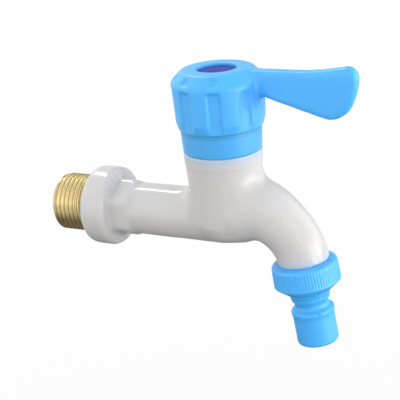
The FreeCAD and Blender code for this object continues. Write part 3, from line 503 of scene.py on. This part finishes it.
@dataclass(frozen=True)
class ThreadedMetal(MetalFinish):
    """A bare metal thread about X, with painted shade darkening its roots, whose radii are in millimetres."""

    # Colour of the painted shade in the thread's roots
    thread_root_shade: Colour = (0.16, 0.11, 0.05)
    most: float = 0.5
    reach: Range = (9.5, 10.05)

    def make(self) -> bpy.types.Material:
        """Build the material."""
        nodes = self.dress()
        flat = nodes.add("ShaderNodeVectorMath", operation="MULTIPLY")
        flat.inputs[1].default_value = (0, 1, 1)
        nodes.link(nodes.place, flat.inputs[0])
        around = nodes.add("ShaderNodeVectorMath", operation="LENGTH")
        nodes.link(flat.outputs["Vector"], around.inputs[0])
        # Paint shade into the thread's roots
        nodes.painted_light(nodes.ramp(around.outputs["Value"], self.reach, (self.most, 0)), self.thread_root_shade)
        return nodes.material


@dataclass(frozen=True)
class MattFinish:
    """Rubber or lapped ceramic: one colour with a fine, even grain.

    Scales are in cells per metre and the grain's height in metres.
    """

    name: str
    colour: Colour
    wear_and_shade: Colour
    roughness: float
    grain: float
    worn_scale: float = 400
    patch_scale: float = 700
    patch_spread: Range = (0.05, 0.05)
    grain_scale: float = 3000
    grain_height: float = 0.00002

    def make(self) -> bpy.types.Material:
        """Build the material."""
        nodes = Surface(self.name)
        nodes.tint(nodes.noise(self.worn_scale, 3), self.colour, self.wear_and_shade)
        nodes.roughen(nodes.noise(self.patch_scale, 3), self.roughness, *self.patch_spread)
        nodes.bump(nodes.noise(self.grain_scale, 2), self.grain, self.grain_height)
        return nodes.material


FINISHES = {
    Slot.WHITE: BouncePaintedPlastic("white_moulding", (0.56, 0.55, 0.545), (0.58, 0.57, 0.565), roughness=0.17,
                               depth=0.35, glow=(1.0, 0.9, 0.8)),
    Slot.BLUE: ShadePaintedPlastic("blue_moulding", (0.053, 0.426, 0.93), (0.062, 0.446, 0.95), roughness=0.36,
                           depth=0.3, glow=(0.3, 0.8, 1.0), gloss=0.7),
    Slot.INDEX: PlasticFinish("index_moulding", (0.014, 0.036, 0.33), (0.028, 0.032, 0.3), roughness=0.5,
                              depth=0.1, glow=(0.5, 0.4, 1.0), gloss=0.2),
    Slot.BRASS: ThreadedMetal("turned_brass", (0.80, 0.63, 0.31), (0.70, 0.54, 0.25), roughness=0.25,
                              marks=(4, 0.2, 0.2)),
    Slot.CERAMIC: MattFinish("lapped_ceramic", (0.84, 0.83, 0.8), (0.88, 0.87, 0.84), roughness=0.25,
                             grain=0.1),
    Slot.CARTRIDGE: PlasticFinish("cartridge_moulding", (0.78, 0.78, 0.75), (0.8, 0.8, 0.78), roughness=0.4,
                                  depth=0.2, glow=(1.0, 0.9, 0.8)),
    Slot.RUBBER: MattFinish("black_rubber", (0.02, 0.02, 0.02), (0.035, 0.035, 0.035), roughness=0.65,
                            grain=0.3),
    Slot.STEEL: MetalFinish("plain_steel", (0.6, 0.6, 0.6), (0.52, 0.52, 0.53), roughness=0.3,
                            marks=(1, 1, 4)),
}


class Workshop:
    """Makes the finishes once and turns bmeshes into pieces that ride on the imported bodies."""

    def __init__(self, frame: dict) -> None:
        """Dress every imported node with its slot's finish.
        """
        self.nodes = frame["nodes"]
        self.finishes = {slot: finish.make() for slot, finish in FINISHES.items()}
        for part in frame["record"]["subparts"]:
            node = self.nodes[part["node"]]
            node.data.materials.clear()
            node.data.materials.append(self.finishes[Slot(part["material_slot"])])

    def piece(self, name: str, bm: bmesh.types.BMesh, slot: Slot, body: Body, *replaced: str
              ) -> bpy.types.Object:
        """Turn a bmesh in millimetres into a smooth-shaded piece.

        Args:
            name: the piece's name.
            bm: its shape; it is freed.
            slot: the finish it takes.
            body: the body it rides on.
            replaced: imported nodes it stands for.

        Returns:
            The new object.
        """
        bmesh.ops.scale(bm, vec=(MM, MM, MM), verts=bm.verts)
        bmesh.ops.recalc_face_normals(bm, faces=bm.faces)
        mesh = bpy.data.meshes.new(name)
        bm.to_mesh(mesh)
        bm.free()
        mesh.shade_smooth()
        mesh.materials.append(self.finishes[slot])
        piece = bpy.data.objects.new(name, mesh)
        bpy.context.scene.collection.objects.link(piece)
        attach(piece, body.value)
        if replaced:
            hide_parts(*replaced)
        LOG.info("%s: %d faces", name, len(mesh.polygons))
        return piece

    def skin(self, node: str, voxel: float) -> bmesh.types.BMesh:
        """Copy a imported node's shape as an even skin of small faces.

        Args:
            node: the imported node's name.
            voxel: size of the faces, in millimetres.

        Returns:
            The skin, in millimetres.
        """
        bm = bmesh.new()
        bm.from_mesh(self.nodes[node].data)
        bmesh.ops.remove_doubles(bm, verts=bm.verts, dist=1e-6)
        bmesh.ops.scale(bm, vec=(1 / MM,) * 3, verts=bm.verts)
        copy = bpy.data.meshes.new("copy")
        bm.to_mesh(copy)
        bm.free()
        holder = bpy.data.objects.new("copy", copy)
        bpy.context.scene.collection.objects.link(holder)
        remesh = holder.modifiers.new("even", "REMESH")
        remesh.mode = "VOXEL"
        remesh.voxel_size = voxel
        evaluated = holder.evaluated_get(bpy.context.evaluated_depsgraph_get())
        bm = bmesh.new()
        bm.from_mesh(evaluated.to_mesh())
        evaluated.to_mesh_clear()
        bpy.data.objects.remove(holder)
        bpy.data.meshes.remove(copy)
        return bm


def relax(bm: bmesh.types.BMesh, verts: list[bmesh.types.BMVert], rounds: int) -> None:
    """Smooth some vertices of a skin.

    Args:
        bm: the skin.
        verts: the vertices that may move.
        rounds: how many times.
    """
    for _ in range(rounds):
        bmesh.ops.smooth_vert(bm, verts=verts, factor=0.5, use_axis_x=True, use_axis_y=True, use_axis_z=True)


def soften(bm: bmesh.types.BMesh, verts: list[bmesh.types.BMVert], rounds: int, side: int) -> None:
    """Smooth some vertices, but only let them move to one side of the skin.

    Args:
        bm: the skin.
        verts: the vertices that may move.
        rounds: how many times.
        side: 1 for outwards only, -1 for inwards only.
    """
    burst = 3
    for first in range(0, rounds, burst):
        bm.normal_update()
        before = [(vert, vert.co.copy(), vert.normal.copy()) for vert in verts]
        relax(bm, verts, min(burst, rounds - first))
        for vert, place, normal in before:
            if (vert.co - place).dot(normal) * side < 0:
                vert.co = place


def fill_hollows(bm: bmesh.types.BMesh, verts: list[bmesh.types.BMVert], rounds: int) -> None:
    """Round the inside corners among some vertices.

    Args:
        bm: the skin.
        verts: the vertices that may move.
        rounds: how many times they are smoothed, which sets the size of the fillet.
    """
    soften(bm, verts, rounds, 1)


def wear_edges(bm: bmesh.types.BMesh, verts: list[bmesh.types.BMVert], rounds: int) -> None:
    """Round the outside edges among some vertices.

    Args:
        bm: the skin.
        verts: the vertices that may move.
        rounds: how many times they are smoothed, which sets the size of the round.
    """
    soften(bm, verts, rounds, -1)


@dataclass(frozen=True)
class Region:
    """Where a step works, in millimetres: ranges along the axes and about two of them, open if left out."""

    x: Range = (LOW, HIGH)
    y: Range = (LOW, HIGH)
    z: Range = (LOW, HIGH)
    off_inlet: Range = (LOW, HIGH)
    off_tower: Range = (LOW, HIGH)

    def holds(self, place: Vector) -> bool:
        """Tell whether a point lies in it."""
        values = (*place, math.hypot(place.y, place.z), math.hypot(place.x - TOWER.x, place.y))
        limits = (self.x, self.y, self.z, self.off_inlet, self.off_tower)
        return all(low < value < high for value, (low, high) in zip(values, limits))


def within(bm: bmesh.types.BMesh, *regions: Region) -> list[bmesh.types.BMVert]:
    """Give the vertices that lie in any of some regions."""
    return [vert for vert in bm.verts if any(region.holds(vert.co) for region in regions)]


@dataclass(frozen=True)
class Knee:
    """One corner of a turned outline and the radius that softens it."""

    radius: float
    height: float
    soft: float = 0.0


def bent(knees: tuple[Knee, ...], steps: int) -> list[Vector]:
    """Lay a closed outline through its corners, each one replaced by an arc.

    Args:
        knees: the corners in order.
        steps: spans in each arc.

    Returns:
        Points in the XZ plane.
    """
    most = 0.49  # an arc takes less than half of a span, so two arcs never meet
    points = []
    for index, knee in enumerate(knees):
        corner = Vector((knee.radius, 0, knee.height))
        if knee.soft == 0:
            points.append(corner)
            continue
        before = knees[index - 1]
        after = knees[(index + 1) % len(knees)]
        back = Vector((before.radius, 0, before.height)) - corner
        ahead = Vector((after.radius, 0, after.height)) - corner
        half = back.angle(ahead) / 2
        reach = min(knee.soft / math.tan(half), most * back.length, most * ahead.length)
        first = corner + back.normalized() * reach
        last = corner + ahead.normalized() * reach
        centre = corner + (back.normalized() + ahead.normalized()).normalized() * reach / math.cos(half)
        start, finish = first - centre, last - centre
        sweep = start.angle(finish)
        for step in range(steps + 1):
            share = step / steps
            arm = (start * math.sin((1 - share) * sweep) + finish * math.sin(share * sweep)) / math.sin(sweep)
            points.append(centre + arm)
    return points


def refined(points: list[Vector], span: float) -> list[Vector]:
    """Divide a closed outline's long spans.

    Args:
        points: the outline.
        span: the longest span allowed, in millimetres.

    Returns:
        The outline with added points.
    """
    result = []
    for index, point in enumerate(points):
        after = points[(index + 1) % len(points)]
        parts = max(1, math.ceil((after - point).length / span))
        result.extend(point.lerp(after, part / parts) for part in range(parts))
    return result


def turned(knees: tuple[Knee, ...], span: float, steps: int, arc: int = 6) -> bmesh.types.BMesh:
    """Turn a closed outline once about Z.

    Args:
        knees: the outline's corners in order, off the axis.
        span: the longest span allowed along the outline, in millimetres.
        steps: spans round the turn.
        arc: spans in each corner's arc.

    Returns:
        The solid.
    """
    bm = bmesh.new()
    verts = [bm.verts.new(point) for point in refined(bent(knees, arc), span)]
    edges = [bm.edges.new((vert, verts[(index + 1) % len(verts)])) for index, vert in enumerate(verts)]
    bmesh.ops.spin(bm, geom=verts + edges, cent=(0, 0, 0), axis=(0, 0, 1), angle=TURN, steps=steps,
                   use_merge=True)
    return bm


def place_on_outlet(bm: bmesh.types.BMesh) -> None:
    """Turn a shape that stands on the origin, with +Z down the outlet, to its place at the spout's end.

    Args:
        bm: the shape, in millimetres.
    """
    turn = Matrix.Rotation(math.pi - OUTLET_LEAN, 4, "Y")
    bmesh.ops.transform(bm, matrix=Matrix.Translation(OUTLET) @ turn, verts=bm.verts)


@dataclass
class Moulding:
    """The white moulded body, with soft inside corners where collar, barrel, tower and spout meet."""

    shop: Workshop
    voxel: float = 0.42
    hollows: tuple[Region, ...] = (
        Region(x=(LOW, 60), off_inlet=(LOW, 7)),
        Region(z=(5.5, HIGH), off_tower=(LOW, 11)),
        Region(z=(16, HIGH), off_tower=(LOW, 11.8)),
    )
    corners: Region = Region(x=(24, 80), z=(LOW, 22))
    corner_rounds: int = 90
    barrel_saddle: Region = Region(x=(32, 52), z=(LOW, 20))
    spout_saddle: Region = Region(x=(60, 77), z=(1, 20))
    saddle_rounds: int = 300
    wrench: Region = Region(x=(9.6, 21), off_inlet=(8.6, 12.2))
    wrench_rounds: int = 26
    wrench_foot: float = 15.5
    collar: Region = Region(x=(LOW, 11), off_inlet=(12, HIGH))
    collar_rounds: int = 34
    rim: float = 5.0
    rim_rounds: int = 5
    belly: Region = Region(x=(34, 66), z=(LOW, -1))
    belly_rounds: int = 90
    barrel: Region = Region(x=(19, 44), z=(LOW, 12))
    barrel_rounds: int = 16
    last_rounds: int = 3
    ring: Region = Region(z=(20.4, 24), off_tower=(12.3, HIGH))
    ring_relief: float = 0.09
    ring_foot: float = 0.4
    ring_top: float = 2.5

    def build(self) -> None:
        """Make the body's skin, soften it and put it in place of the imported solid."""
        bm = self.shop.skin("tap_body", self.voxel)
        fill_hollows(bm, self.outside(bm, self.corners), self.corner_rounds)
        fill_hollows(bm, self.outside(bm, self.barrel_saddle, self.spout_saddle), self.saddle_rounds)
        wrench = self.outside(bm, self.wrench)
        fill_hollows(bm, [vert for vert in wrench if vert.co.x < self.wrench_foot], self.wrench_rounds)
        wear_edges(bm, wrench, self.wrench_rounds)
        collar = self.outside(bm, self.collar)
        wear_edges(bm, [vert for vert in collar if vert.co.x < self.rim], self.collar_rounds)
        wear_edges(bm, [vert for vert in collar if vert.co.x >= self.rim], self.rim_rounds)
        relax(bm, self.outside(bm, self.belly), self.belly_rounds)
        relax(bm, self.outside(bm, self.barrel), self.barrel_rounds)
        relax(bm, bm.verts[:], self.last_rounds)
        self.raise_ring(bm)
        self.shop.piece("moulded_body", bm, Slot.WHITE, Body.TAP, "tap_body")

    def outside(self, bm: bmesh.types.BMesh, *regions: Region) -> list[bmesh.types.BMVert]:
        """Give the vertices in some regions that aren't in the inlet bore or the valve chamber."""
        hidden = set(within(bm, *self.hollows))
        return [vert for vert in within(bm, *regions) if vert not in hidden]

    def raise_ring(self, bm: bmesh.types.BMesh) -> None:
        """Leave the faint parting ring below the tower's mouth.

        Args:
            bm: the body's skin.
        """
        foot, top = self.ring.z
        for vert in within(bm, self.ring):
            share = min(1, (vert.co.z - foot) / self.ring_foot, (top - vert.co.z) / self.ring_top)
            vert.co += vert.normal * self.ring_relief * share


@dataclass
class WallThread:
    """The brass insert: a real helical pipe thread outside, two flanges inside the collar.

    The profile gives shares of the pitch and of the depth; the flanges give places along X and radii.
    """

    shop: Workshop
    crest: float = 10.4775
    bore: float = 7.2
    pitch: float = 1.814
    depth: float = 1.0
    end: float = -14.1
    lead_in: float = 0.9
    start: float = 0.2
    steps: int = 96
    profile: tuple[Range, ...] = ((0, 0.12), (0.08, 0), (0.2, 0), (0.28, 0.12), (0.55, 1), (0.73, 1))
    flanges: tuple[Range, ...] = (
        (0.2, 10), (2, 10), (2, 11.8), (4.2, 11.8), (4.2, 10), (6, 10), (6, 11.8), (8.2, 11.8),
    )
    hair: float = 0.01

    def build(self) -> None:
        """Spin one thread outline along a helix, trim its ends and close it into a solid."""
        bm = bmesh.new()
        first = self.end - 2 * self.pitch
        turns = math.ceil((self.start - first) / self.pitch) + 2
        outline = []
        for turn in range(turns):
            for share, drop in self.profile:
                outline.append((first + (turn + share) * self.pitch, self.crest - drop * self.depth))
        verts = [bm.verts.new((along, 0, radius)) for along, radius in outline]
        edges = [bm.edges.new(pair) for pair in zip(verts, verts[1:])]
        bmesh.ops.spin(bm, geom=verts + edges, cent=(0, 0, 0), axis=(1, 0, 0),
                       dvec=(self.pitch / self.steps, 0, 0), angle=TURN, steps=self.steps, use_merge=False)
        bmesh.ops.remove_doubles(bm, verts=bm.verts, dist=0.001)
        for place, side in ((self.end, -1), (self.start, 1)):
            bmesh.ops.bisect_plane(bm, geom=bm.verts[:] + bm.edges[:] + bm.faces[:], dist=0.0001,
                                   plane_co=(place, 0, 0), plane_no=(side, 0, 0), clear_outer=True)
        for vert in bm.verts:
            self.limit(vert, self.crest - self.lead_in + max(vert.co.x - self.end, 0))
        self.close(bm)
        self.shop.piece("wall_thread", bm, Slot.BRASS, Body.TAP, "inlet_insert")

    @staticmethod
    def limit(vert: bmesh.types.BMVert, radius: float) -> None:
        """Pull a vertex in to a radius about the inlet's axis if it lies further out."""
        reach = math.hypot(vert.co.y, vert.co.z)
        if reach > radius:
            vert.co.y *= radius / reach
            vert.co.z *= radius / reach

    def close(self, bm: bmesh.types.BMesh) -> None:
        """Run the two open rims round the hidden flanges and through the bore until they meet.

        Args:
            bm: the open thread.
        """
        rims = [edge for edge in bm.edges if edge.is_boundary]
        outer = [edge for edge in rims if edge.verts[0].co.x < self.end + self.hair]
        inner = [edge for edge in rims if edge.verts[0].co.x > self.start - self.hair]
        for along, radius in (*self.flanges, (self.flanges[-1][0], self.bore)):
            inner = self.step(bm, inner, along, radius)
        outer = self.step(bm, outer, self.end, self.bore)
        bmesh.ops.bridge_loops(bm, edges=inner + outer)

    @staticmethod
    def step(bm: bmesh.types.BMesh, rim: list[bmesh.types.BMEdge], along: float, radius: float
             ) -> list[bmesh.types.BMEdge]:
        """Extrude a rim to a new place on the axis and a new radius.

        Args:
            bm: the mesh.
            rim: the rim's edges.
            along: the new place along X.
            radius: the new radius.

        Returns:
            The new rim's edges.
        """
        made = bmesh.ops.extrude_edge_only(bm, edges=rim)["geom"]
        for vert in (item for item in made if isinstance(item, bmesh.types.BMVert)):
            reach = math.hypot(vert.co.y, vert.co.z)
            vert.co = Vector((along, vert.co.y * radius / reach, vert.co.z * radius / reach))
        return [item for item in made if isinstance(item, bmesh.types.BMEdge) and item.is_boundary]


@dataclass
class LeverHandle:
    """The blue handle, with the soft webs where its lever leaves the cap."""

    shop: Workshop
    voxel: float = 0.38
    root: Region = Region(x=(TOWER.x + 7, HIGH), y=(-10, 10), z=(40.5, HIGH), off_tower=(8.5, 28))
    web_rounds: int = 150
    rim: Region = Region(z=(47, HIGH), off_tower=(7.8, 18))
    rim_rounds: int = 5
    side: Region = Region(z=(LOW, 48), off_tower=(12.6, 18))
    groove_rounds: int = 7
    edge_rounds: tuple[tuple[float, int], ...] = ((16, 6), (24, 9), (31, 12), (36, 15), (40, 15), (43, 15))
    last_rounds: int = 2
    notches: Region = Region(z=(49.4, HIGH), off_tower=(12.7, 15.1))
    notch_first: float = 30.0
    notch_pitch: float = 40.0
    notch_half: float = 7.5
    notch_press: float = 0.3
    notch_fade: float = 0.3
    notch_slope: float = 1.2
    lip_top: float = 35.4
    lip_drop: float = 0.16

    def build(self) -> None:
        """Make the handle's skin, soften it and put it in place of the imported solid."""
        bm = self.shop.skin("handle", self.voxel)
        fill_hollows(bm, within(bm, self.root), self.web_rounds)
        wear_edges(bm, within(bm, self.rim), self.rim_rounds)
        side = within(bm, self.side)
        fill_hollows(bm, side, self.groove_rounds)
        wear_edges(bm, side, self.groove_rounds)
        for reach, rounds in self.edge_rounds:
            wear_edges(bm, within(bm, Region(x=(TOWER.x + reach, HIGH))), rounds)
        self.press_notches(bm)
        relax(bm, bm.verts[:], self.last_rounds)
        for vert in bm.verts:
            vert.co.z -= self.lip_drop * max(0, min(1, self.lip_top - vert.co.z))
        self.shop.piece("lever_handle", bm, Slot.BLUE, Body.HANDLE, "handle")

    def press_notches(self, bm: bmesh.types.BMesh) -> None:
        """Bring back the small notches above the grooves, which the smoothing has worn.

        Args:
            bm: the handle's skin.
        """
        bm.normal_update()
        inner, outer = self.notches.off_tower
        for vert in within(bm, self.notches):
            across, along = vert.co.x - TOWER.x, vert.co.y
            around = math.hypot(across, along)
            turn = abs(math.degrees(math.atan2(along, across))) - self.notch_first
            if turn < self.notch_pitch / 2:
                continue
            margin = min(around - inner, outer - around)
            aside = abs((turn + self.notch_pitch / 2) % self.notch_pitch - self.notch_pitch / 2)
            share = min(1, margin / self.notch_fade, max(0, (self.notch_half - aside) / self.notch_slope))
            vert.co -= vert.normal * self.notch_press * share


@dataclass
class BonnetBand:
    """The blue bonnet nut, whose band shows between the tower and the handle."""

    shop: Workshop
    outline: tuple[Knee, ...] = (
        Knee(8.2, 20.6), Knee(11.15, 20.6), Knee(11.15, 25.1), Knee(13.42, 25.1, 0.6),
        Knee(13.84, 33.17, 0.2), Knee(12.2, 33.17, 0.2), Knee(12.2, 27.5), Knee(9.8, 27.5),
        Knee(9.8, 32.9, 0.3), Knee(8.2, 32.9, 0.3),
    )

    def build(self) -> None:
        """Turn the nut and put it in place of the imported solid."""
        bm = turned(self.outline, span=1.0, steps=160)
        bmesh.ops.translate(bm, vec=TOWER, verts=bm.verts)
        self.shop.piece("bonnet_band", bm, Slot.BLUE, Body.TAP, "bonnet_nut")


@dataclass
class IndexDisc:
    """The index button: a slightly crowned disc with a soft edge over a short skirt."""

    shop: Workshop
    outside: float = 6.75
    top: float = 52.3
    floor: float = 48.2
    crown: float = 0.25
    thickness: float = 1.2
    skirt: float = 1.0
    pinhole: float = 0.02

    def build(self) -> None:
        """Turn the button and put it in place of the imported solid."""
        inside = self.outside - self.skirt
        below = self.top - self.thickness
        outline = (
            Knee(self.pinhole, below), Knee(inside, below), Knee(inside, self.floor),
            Knee(self.outside, self.floor), Knee(self.outside, self.top - self.crown, 0.4),
            Knee(self.pinhole, self.top),
        )
        bm = turned(outline, span=0.6, steps=128)
        bmesh.ops.translate(bm, vec=TOWER, verts=bm.verts)
        self.shop.piece("index_disc", bm, Slot.INDEX, Body.HANDLE, "index_button")


@dataclass
class UnionNut:
    """The union nut on the spout's end, with fine shallow ribs that fade out at both rims."""

    shop: Workshop
    outline: tuple[Knee, ...] = (
        Knee(8.45, 0.2, 0.3), Knee(11.35, 0.75, 1.3), Knee(11.6, 8.0, 0.5), Knee(9.67, 9.6, 0.7),
        Knee(8.0, 10.9, 0.3), Knee(7.65, 10.9), Knee(7.65, 8.04), Knee(8.45, 8.04),
    )
    ribs: int = 70
    rib_steps: int = 8
    relief: float = 0.12
    side: float = 10.9
    low: float = 0.75
    high: float = 7.6
    fade: float = 1.1
    fade_power: float = 0.7

    def build(self) -> None:
        """Turn the nut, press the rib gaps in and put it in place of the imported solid."""
        bm = turned(self.outline, span=0.6, steps=self.ribs * self.rib_steps)
        for vert in bm.verts:
            self.press(vert)
        place_on_outlet(bm)
        self.shop.piece("union_nut", bm, Slot.BLUE, Body.NUT, "hose_nut")

    def press(self, vert: bmesh.types.BMVert) -> None:
        """Sink a vertex of the nut's side where it lies in a gap between two ribs."""
        reach = math.hypot(vert.co.x, vert.co.y)
        if reach < self.side or not self.low < vert.co.z < self.high:
            return
        margin = min(vert.co.z - self.low, self.high - vert.co.z)
        fade = min(1, margin / self.fade) ** self.fade_power
        wave = 0.5 - 0.5 * math.cos(self.ribs * math.atan2(vert.co.y, vert.co.x))
        share = (reach - self.relief * fade * wave) / reach
        vert.co.x *= share
        vert.co.y *= share


@dataclass
class HoseNozzle:
    """The hose nozzle: flange, shank, ring, neck, bead and plain spigot, with soft moulded corners."""

    shop: Workshop
    outline: tuple[Knee, ...] = (
        Knee(5.0, 6.62), Knee(8.25, 6.62, 0.1), Knee(8.25, 8.02, 0.1), Knee(7.4, 8.02), Knee(7.35, 11.6, 2.0),
        Knee(6.85, 12.7, 2.5), Knee(6.75, 13.9, 1.8), Knee(5.9, 15.1, 1.5), Knee(5.85, 16.6, 1.5),
        Knee(7.52, 17.9, 1.7), Knee(7.5, 18.8, 1.8), Knee(7.2, 20.0, 4.0), Knee(7.2, 30.22, 1.3),
        Knee(5.0, 30.22, 0.5),
    )

    def build(self) -> None:
        """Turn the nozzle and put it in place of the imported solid."""
        bm = turned(self.outline, span=0.7, steps=144, arc=8)
        place_on_outlet(bm)
        self.shop.piece("nozzle_shell", bm, Slot.BLUE, Body.NOZZLE, "hose_nozzle")


@dataclass(frozen=True)
class Lamp:
    """A soft rectangular lamp: its place, target and sides in millimetres and its power in watts."""

    name: str
    place: Point
    target: Point
    sides: Range
    power: float

    def hang(self) -> None:
        """Add the lamp to the scene."""
        light = bpy.data.lights.new(self.name, "AREA")
        light.shape = "RECTANGLE"
        light.size = self.sides[0] * MM
        light.size_y = self.sides[1] * MM
        light.energy = self.power
        lamp = bpy.data.objects.new(self.name, light)
        lamp.location = Vector(self.place) * MM
        lamp.rotation_mode = "QUATERNION"
        lamp.rotation_quaternion = (Vector(self.target) - Vector(self.place)).to_track_quat("-Z", "Y")
        bpy.context.scene.collection.objects.link(lamp)


@dataclass
class Studio:
    """Pale floor, soft light and the camera at the photograph's place.

    Places and reaches are in millimetres; the floor's size and the clipping distances are in metres.
    """

    floor_height: float = -160.0
    floor_size: float = 6.0
    floor_cells: int = 8
    floor_roughness: float = 0.9
    floor_white: float = 0.97
    # A painted shadow on the floor below the tap
    shadow_centre: Point = (20, 0, -160)
    shadow_reach: Range = (90.0, 420.0)
    shadow_colour: Colour = (0.1, 0.1, 0.1)
    floor_colour: Colour = (0.61, 0.61, 0.61)
    gloss_share: float = 0.1
    sky: tuple[tuple[Point, float], ...] = (
        ((0.981, 0, 0.196), 1.15), ((-0.981, 0, 0.196), 1.27), ((0, -0.981, 0.196), 0.45),
    )
    sky_reach: Range = (-0.2, 1.0)
    lamps: tuple[Lamp, ...] = (
        Lamp("strip", (-430, 345, 790), (28, -4, 8), (100, 520), 2.0),
        Lamp("right_back", (600, 500, 300), (45, 0, 5), (600, 600), 1.2),
        Lamp("low_right", (760, 0, -20), (45, 0, 5), (700, 380), 3.0),
        Lamp("front_left", (-260, -700, 40), (45, 0, 5), (600, 600), 0.72),
    )
    eye: Vector = Vector((209.423, -302.700, 130.864))
    right: Vector = Vector((0.887006, 0.453956, -0.084524))
    up: Vector = Vector((-0.085549, 0.341437, 0.936003))
    lens: float = 94.5
    sensor: float = 36
    clip: Range = (0.01, 100)

    def build(self) -> None:
        """Set up floor, world, lamps and camera."""
        bpy.context.scene.view_settings.view_transform = "Standard"
        self.floor()
        self.world()
        for lamp in self.lamps:
            lamp.hang()
        self.camera()

    def floor(self) -> None:
        """Make the pale floor far below the tap, with a painted shadow under it; the camera sees it white,
        with the tap's faint shadow.
        """
        bm = bmesh.new()
        cells = self.floor_cells
        bmesh.ops.create_grid(bm, x_segments=cells, y_segments=cells, size=self.floor_size)
        bmesh.ops.translate(bm, vec=(0, 0, self.floor_height * MM), verts=bm.verts)
        mesh = bpy.data.meshes.new("floor")
        bm.to_mesh(mesh)
        bm.free()
        floor = bpy.data.objects.new("floor", mesh)
        bpy.context.scene.collection.objects.link(floor)
        nodes = Surface("pale_floor")
        # Painted shadow: darker straight below the tap, a dark patch that bounce light and reflections see
        unshadowed = nodes.ramp(nodes.away(self.shadow_centre), self.shadow_reach, (0, 1))
        colour = nodes.coloured(unshadowed, (0, 1), self.shadow_colour, self.floor_colour)
        nodes.link(colour, nodes.shader.inputs["Base Color"])
        nodes.shader.inputs["Roughness"].default_value = self.floor_roughness
        white = nodes.add("ShaderNodeEmission")
        white.inputs["Strength"].default_value = 1.0
        seen = nodes.scaled(self.seen_directly(nodes, unshadowed), self.floor_white)
        shown = nodes.blend(seen, nodes.shader.outputs["BSDF"], white.outputs["Emission"])
        nodes.link(shown, nodes.output("OUTPUT_MATERIAL"))
        mesh.materials.append(nodes.material)

    def seen_directly(self, nodes: Nodes, mask: bpy.types.NodeSocket | None = None) -> bpy.types.NodeSocket:
        """Give 1 for camera and transmission rays, and a share of it for glossy ones.

        Args:
            nodes: the material's or the world's nodes.
            mask: where glossy rays see it, or None for everywhere.

        Returns:
            The value's socket.
        """
        path = nodes.add("ShaderNodeLightPath")
        total = path.outputs["Is Camera Ray"]
        for kind, share in (("Is Glossy Ray", self.gloss_share), ("Is Transmission Ray", 1.0)):
            both = nodes.add("ShaderNodeMath", operation="MULTIPLY_ADD", use_clamp=True)
            both.inputs[1].default_value = share
            if mask and kind == "Is Glossy Ray":
                nodes.link(nodes.scaled(mask, share), both.inputs[1])
            nodes.link(path.outputs[kind], both.inputs[0])
            nodes.link(total, both.inputs[2])
            total = both.outputs[0]
        return total

    def world(self) -> None:
        """Light the scene with soft patches of sky on the right, left and front, and show white behind it."""
        world = bpy.data.worlds.new("soft_room")
        bpy.context.scene.world = world
        world.use_nodes = True
        nodes = Nodes(world.node_tree, "Generated")
        room = nodes.tree.nodes["Background"]
        room.inputs["Color"].default_value = (1, 1, 1, 1)
        total = None
        for way, strength in self.sky:
            level = nodes.mapped(nodes.along(Vector(way)), self.sky_reach, (0, strength), "SMOOTHSTEP")
            total = nodes.joined(level, total, "ADD") if total else level
        nodes.link(total, room.inputs["Strength"])
        white = nodes.add("ShaderNodeBackground")
        white.inputs["Color"].default_value = (1, 1, 1, 1)
        white.inputs["Strength"].default_value = 1.0
        seen = self.seen_directly(nodes)
        shown = nodes.blend(seen, room.outputs["Background"], white.outputs["Background"])
        nodes.link(shown, nodes.output("OUTPUT_WORLD"))

    def camera(self) -> None:
        """Place the camera where the photograph was taken."""
        data = bpy.data.cameras.new("camera")
        data.lens = self.lens
        data.sensor_width = self.sensor
        data.clip_start, data.clip_end = self.clip
        camera = bpy.data.objects.new("camera", data)
        turn = Matrix((self.right, self.up, self.right.cross(self.up))).transposed().to_4x4()
        camera.matrix_world = Matrix.Translation(self.eye * MM) @ turn
        bpy.context.scene.collection.objects.link(camera)
        bpy.context.scene.camera = camera


def main() -> None:
    """Build the tap's looks."""
    logging.basicConfig(level=logging.INFO, format="%(name)s: %(message)s")
    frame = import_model()
    shop = Workshop(frame)
    Moulding(shop).build()
    WallThread(shop).build()
    LeverHandle(shop).build()
    BonnetBand(shop).build()
    IndexDisc(shop).build()
    UnionNut(shop).build()
    HoseNozzle(shop).build()
    Studio().build()


if __name__ == "__main__":
    main()
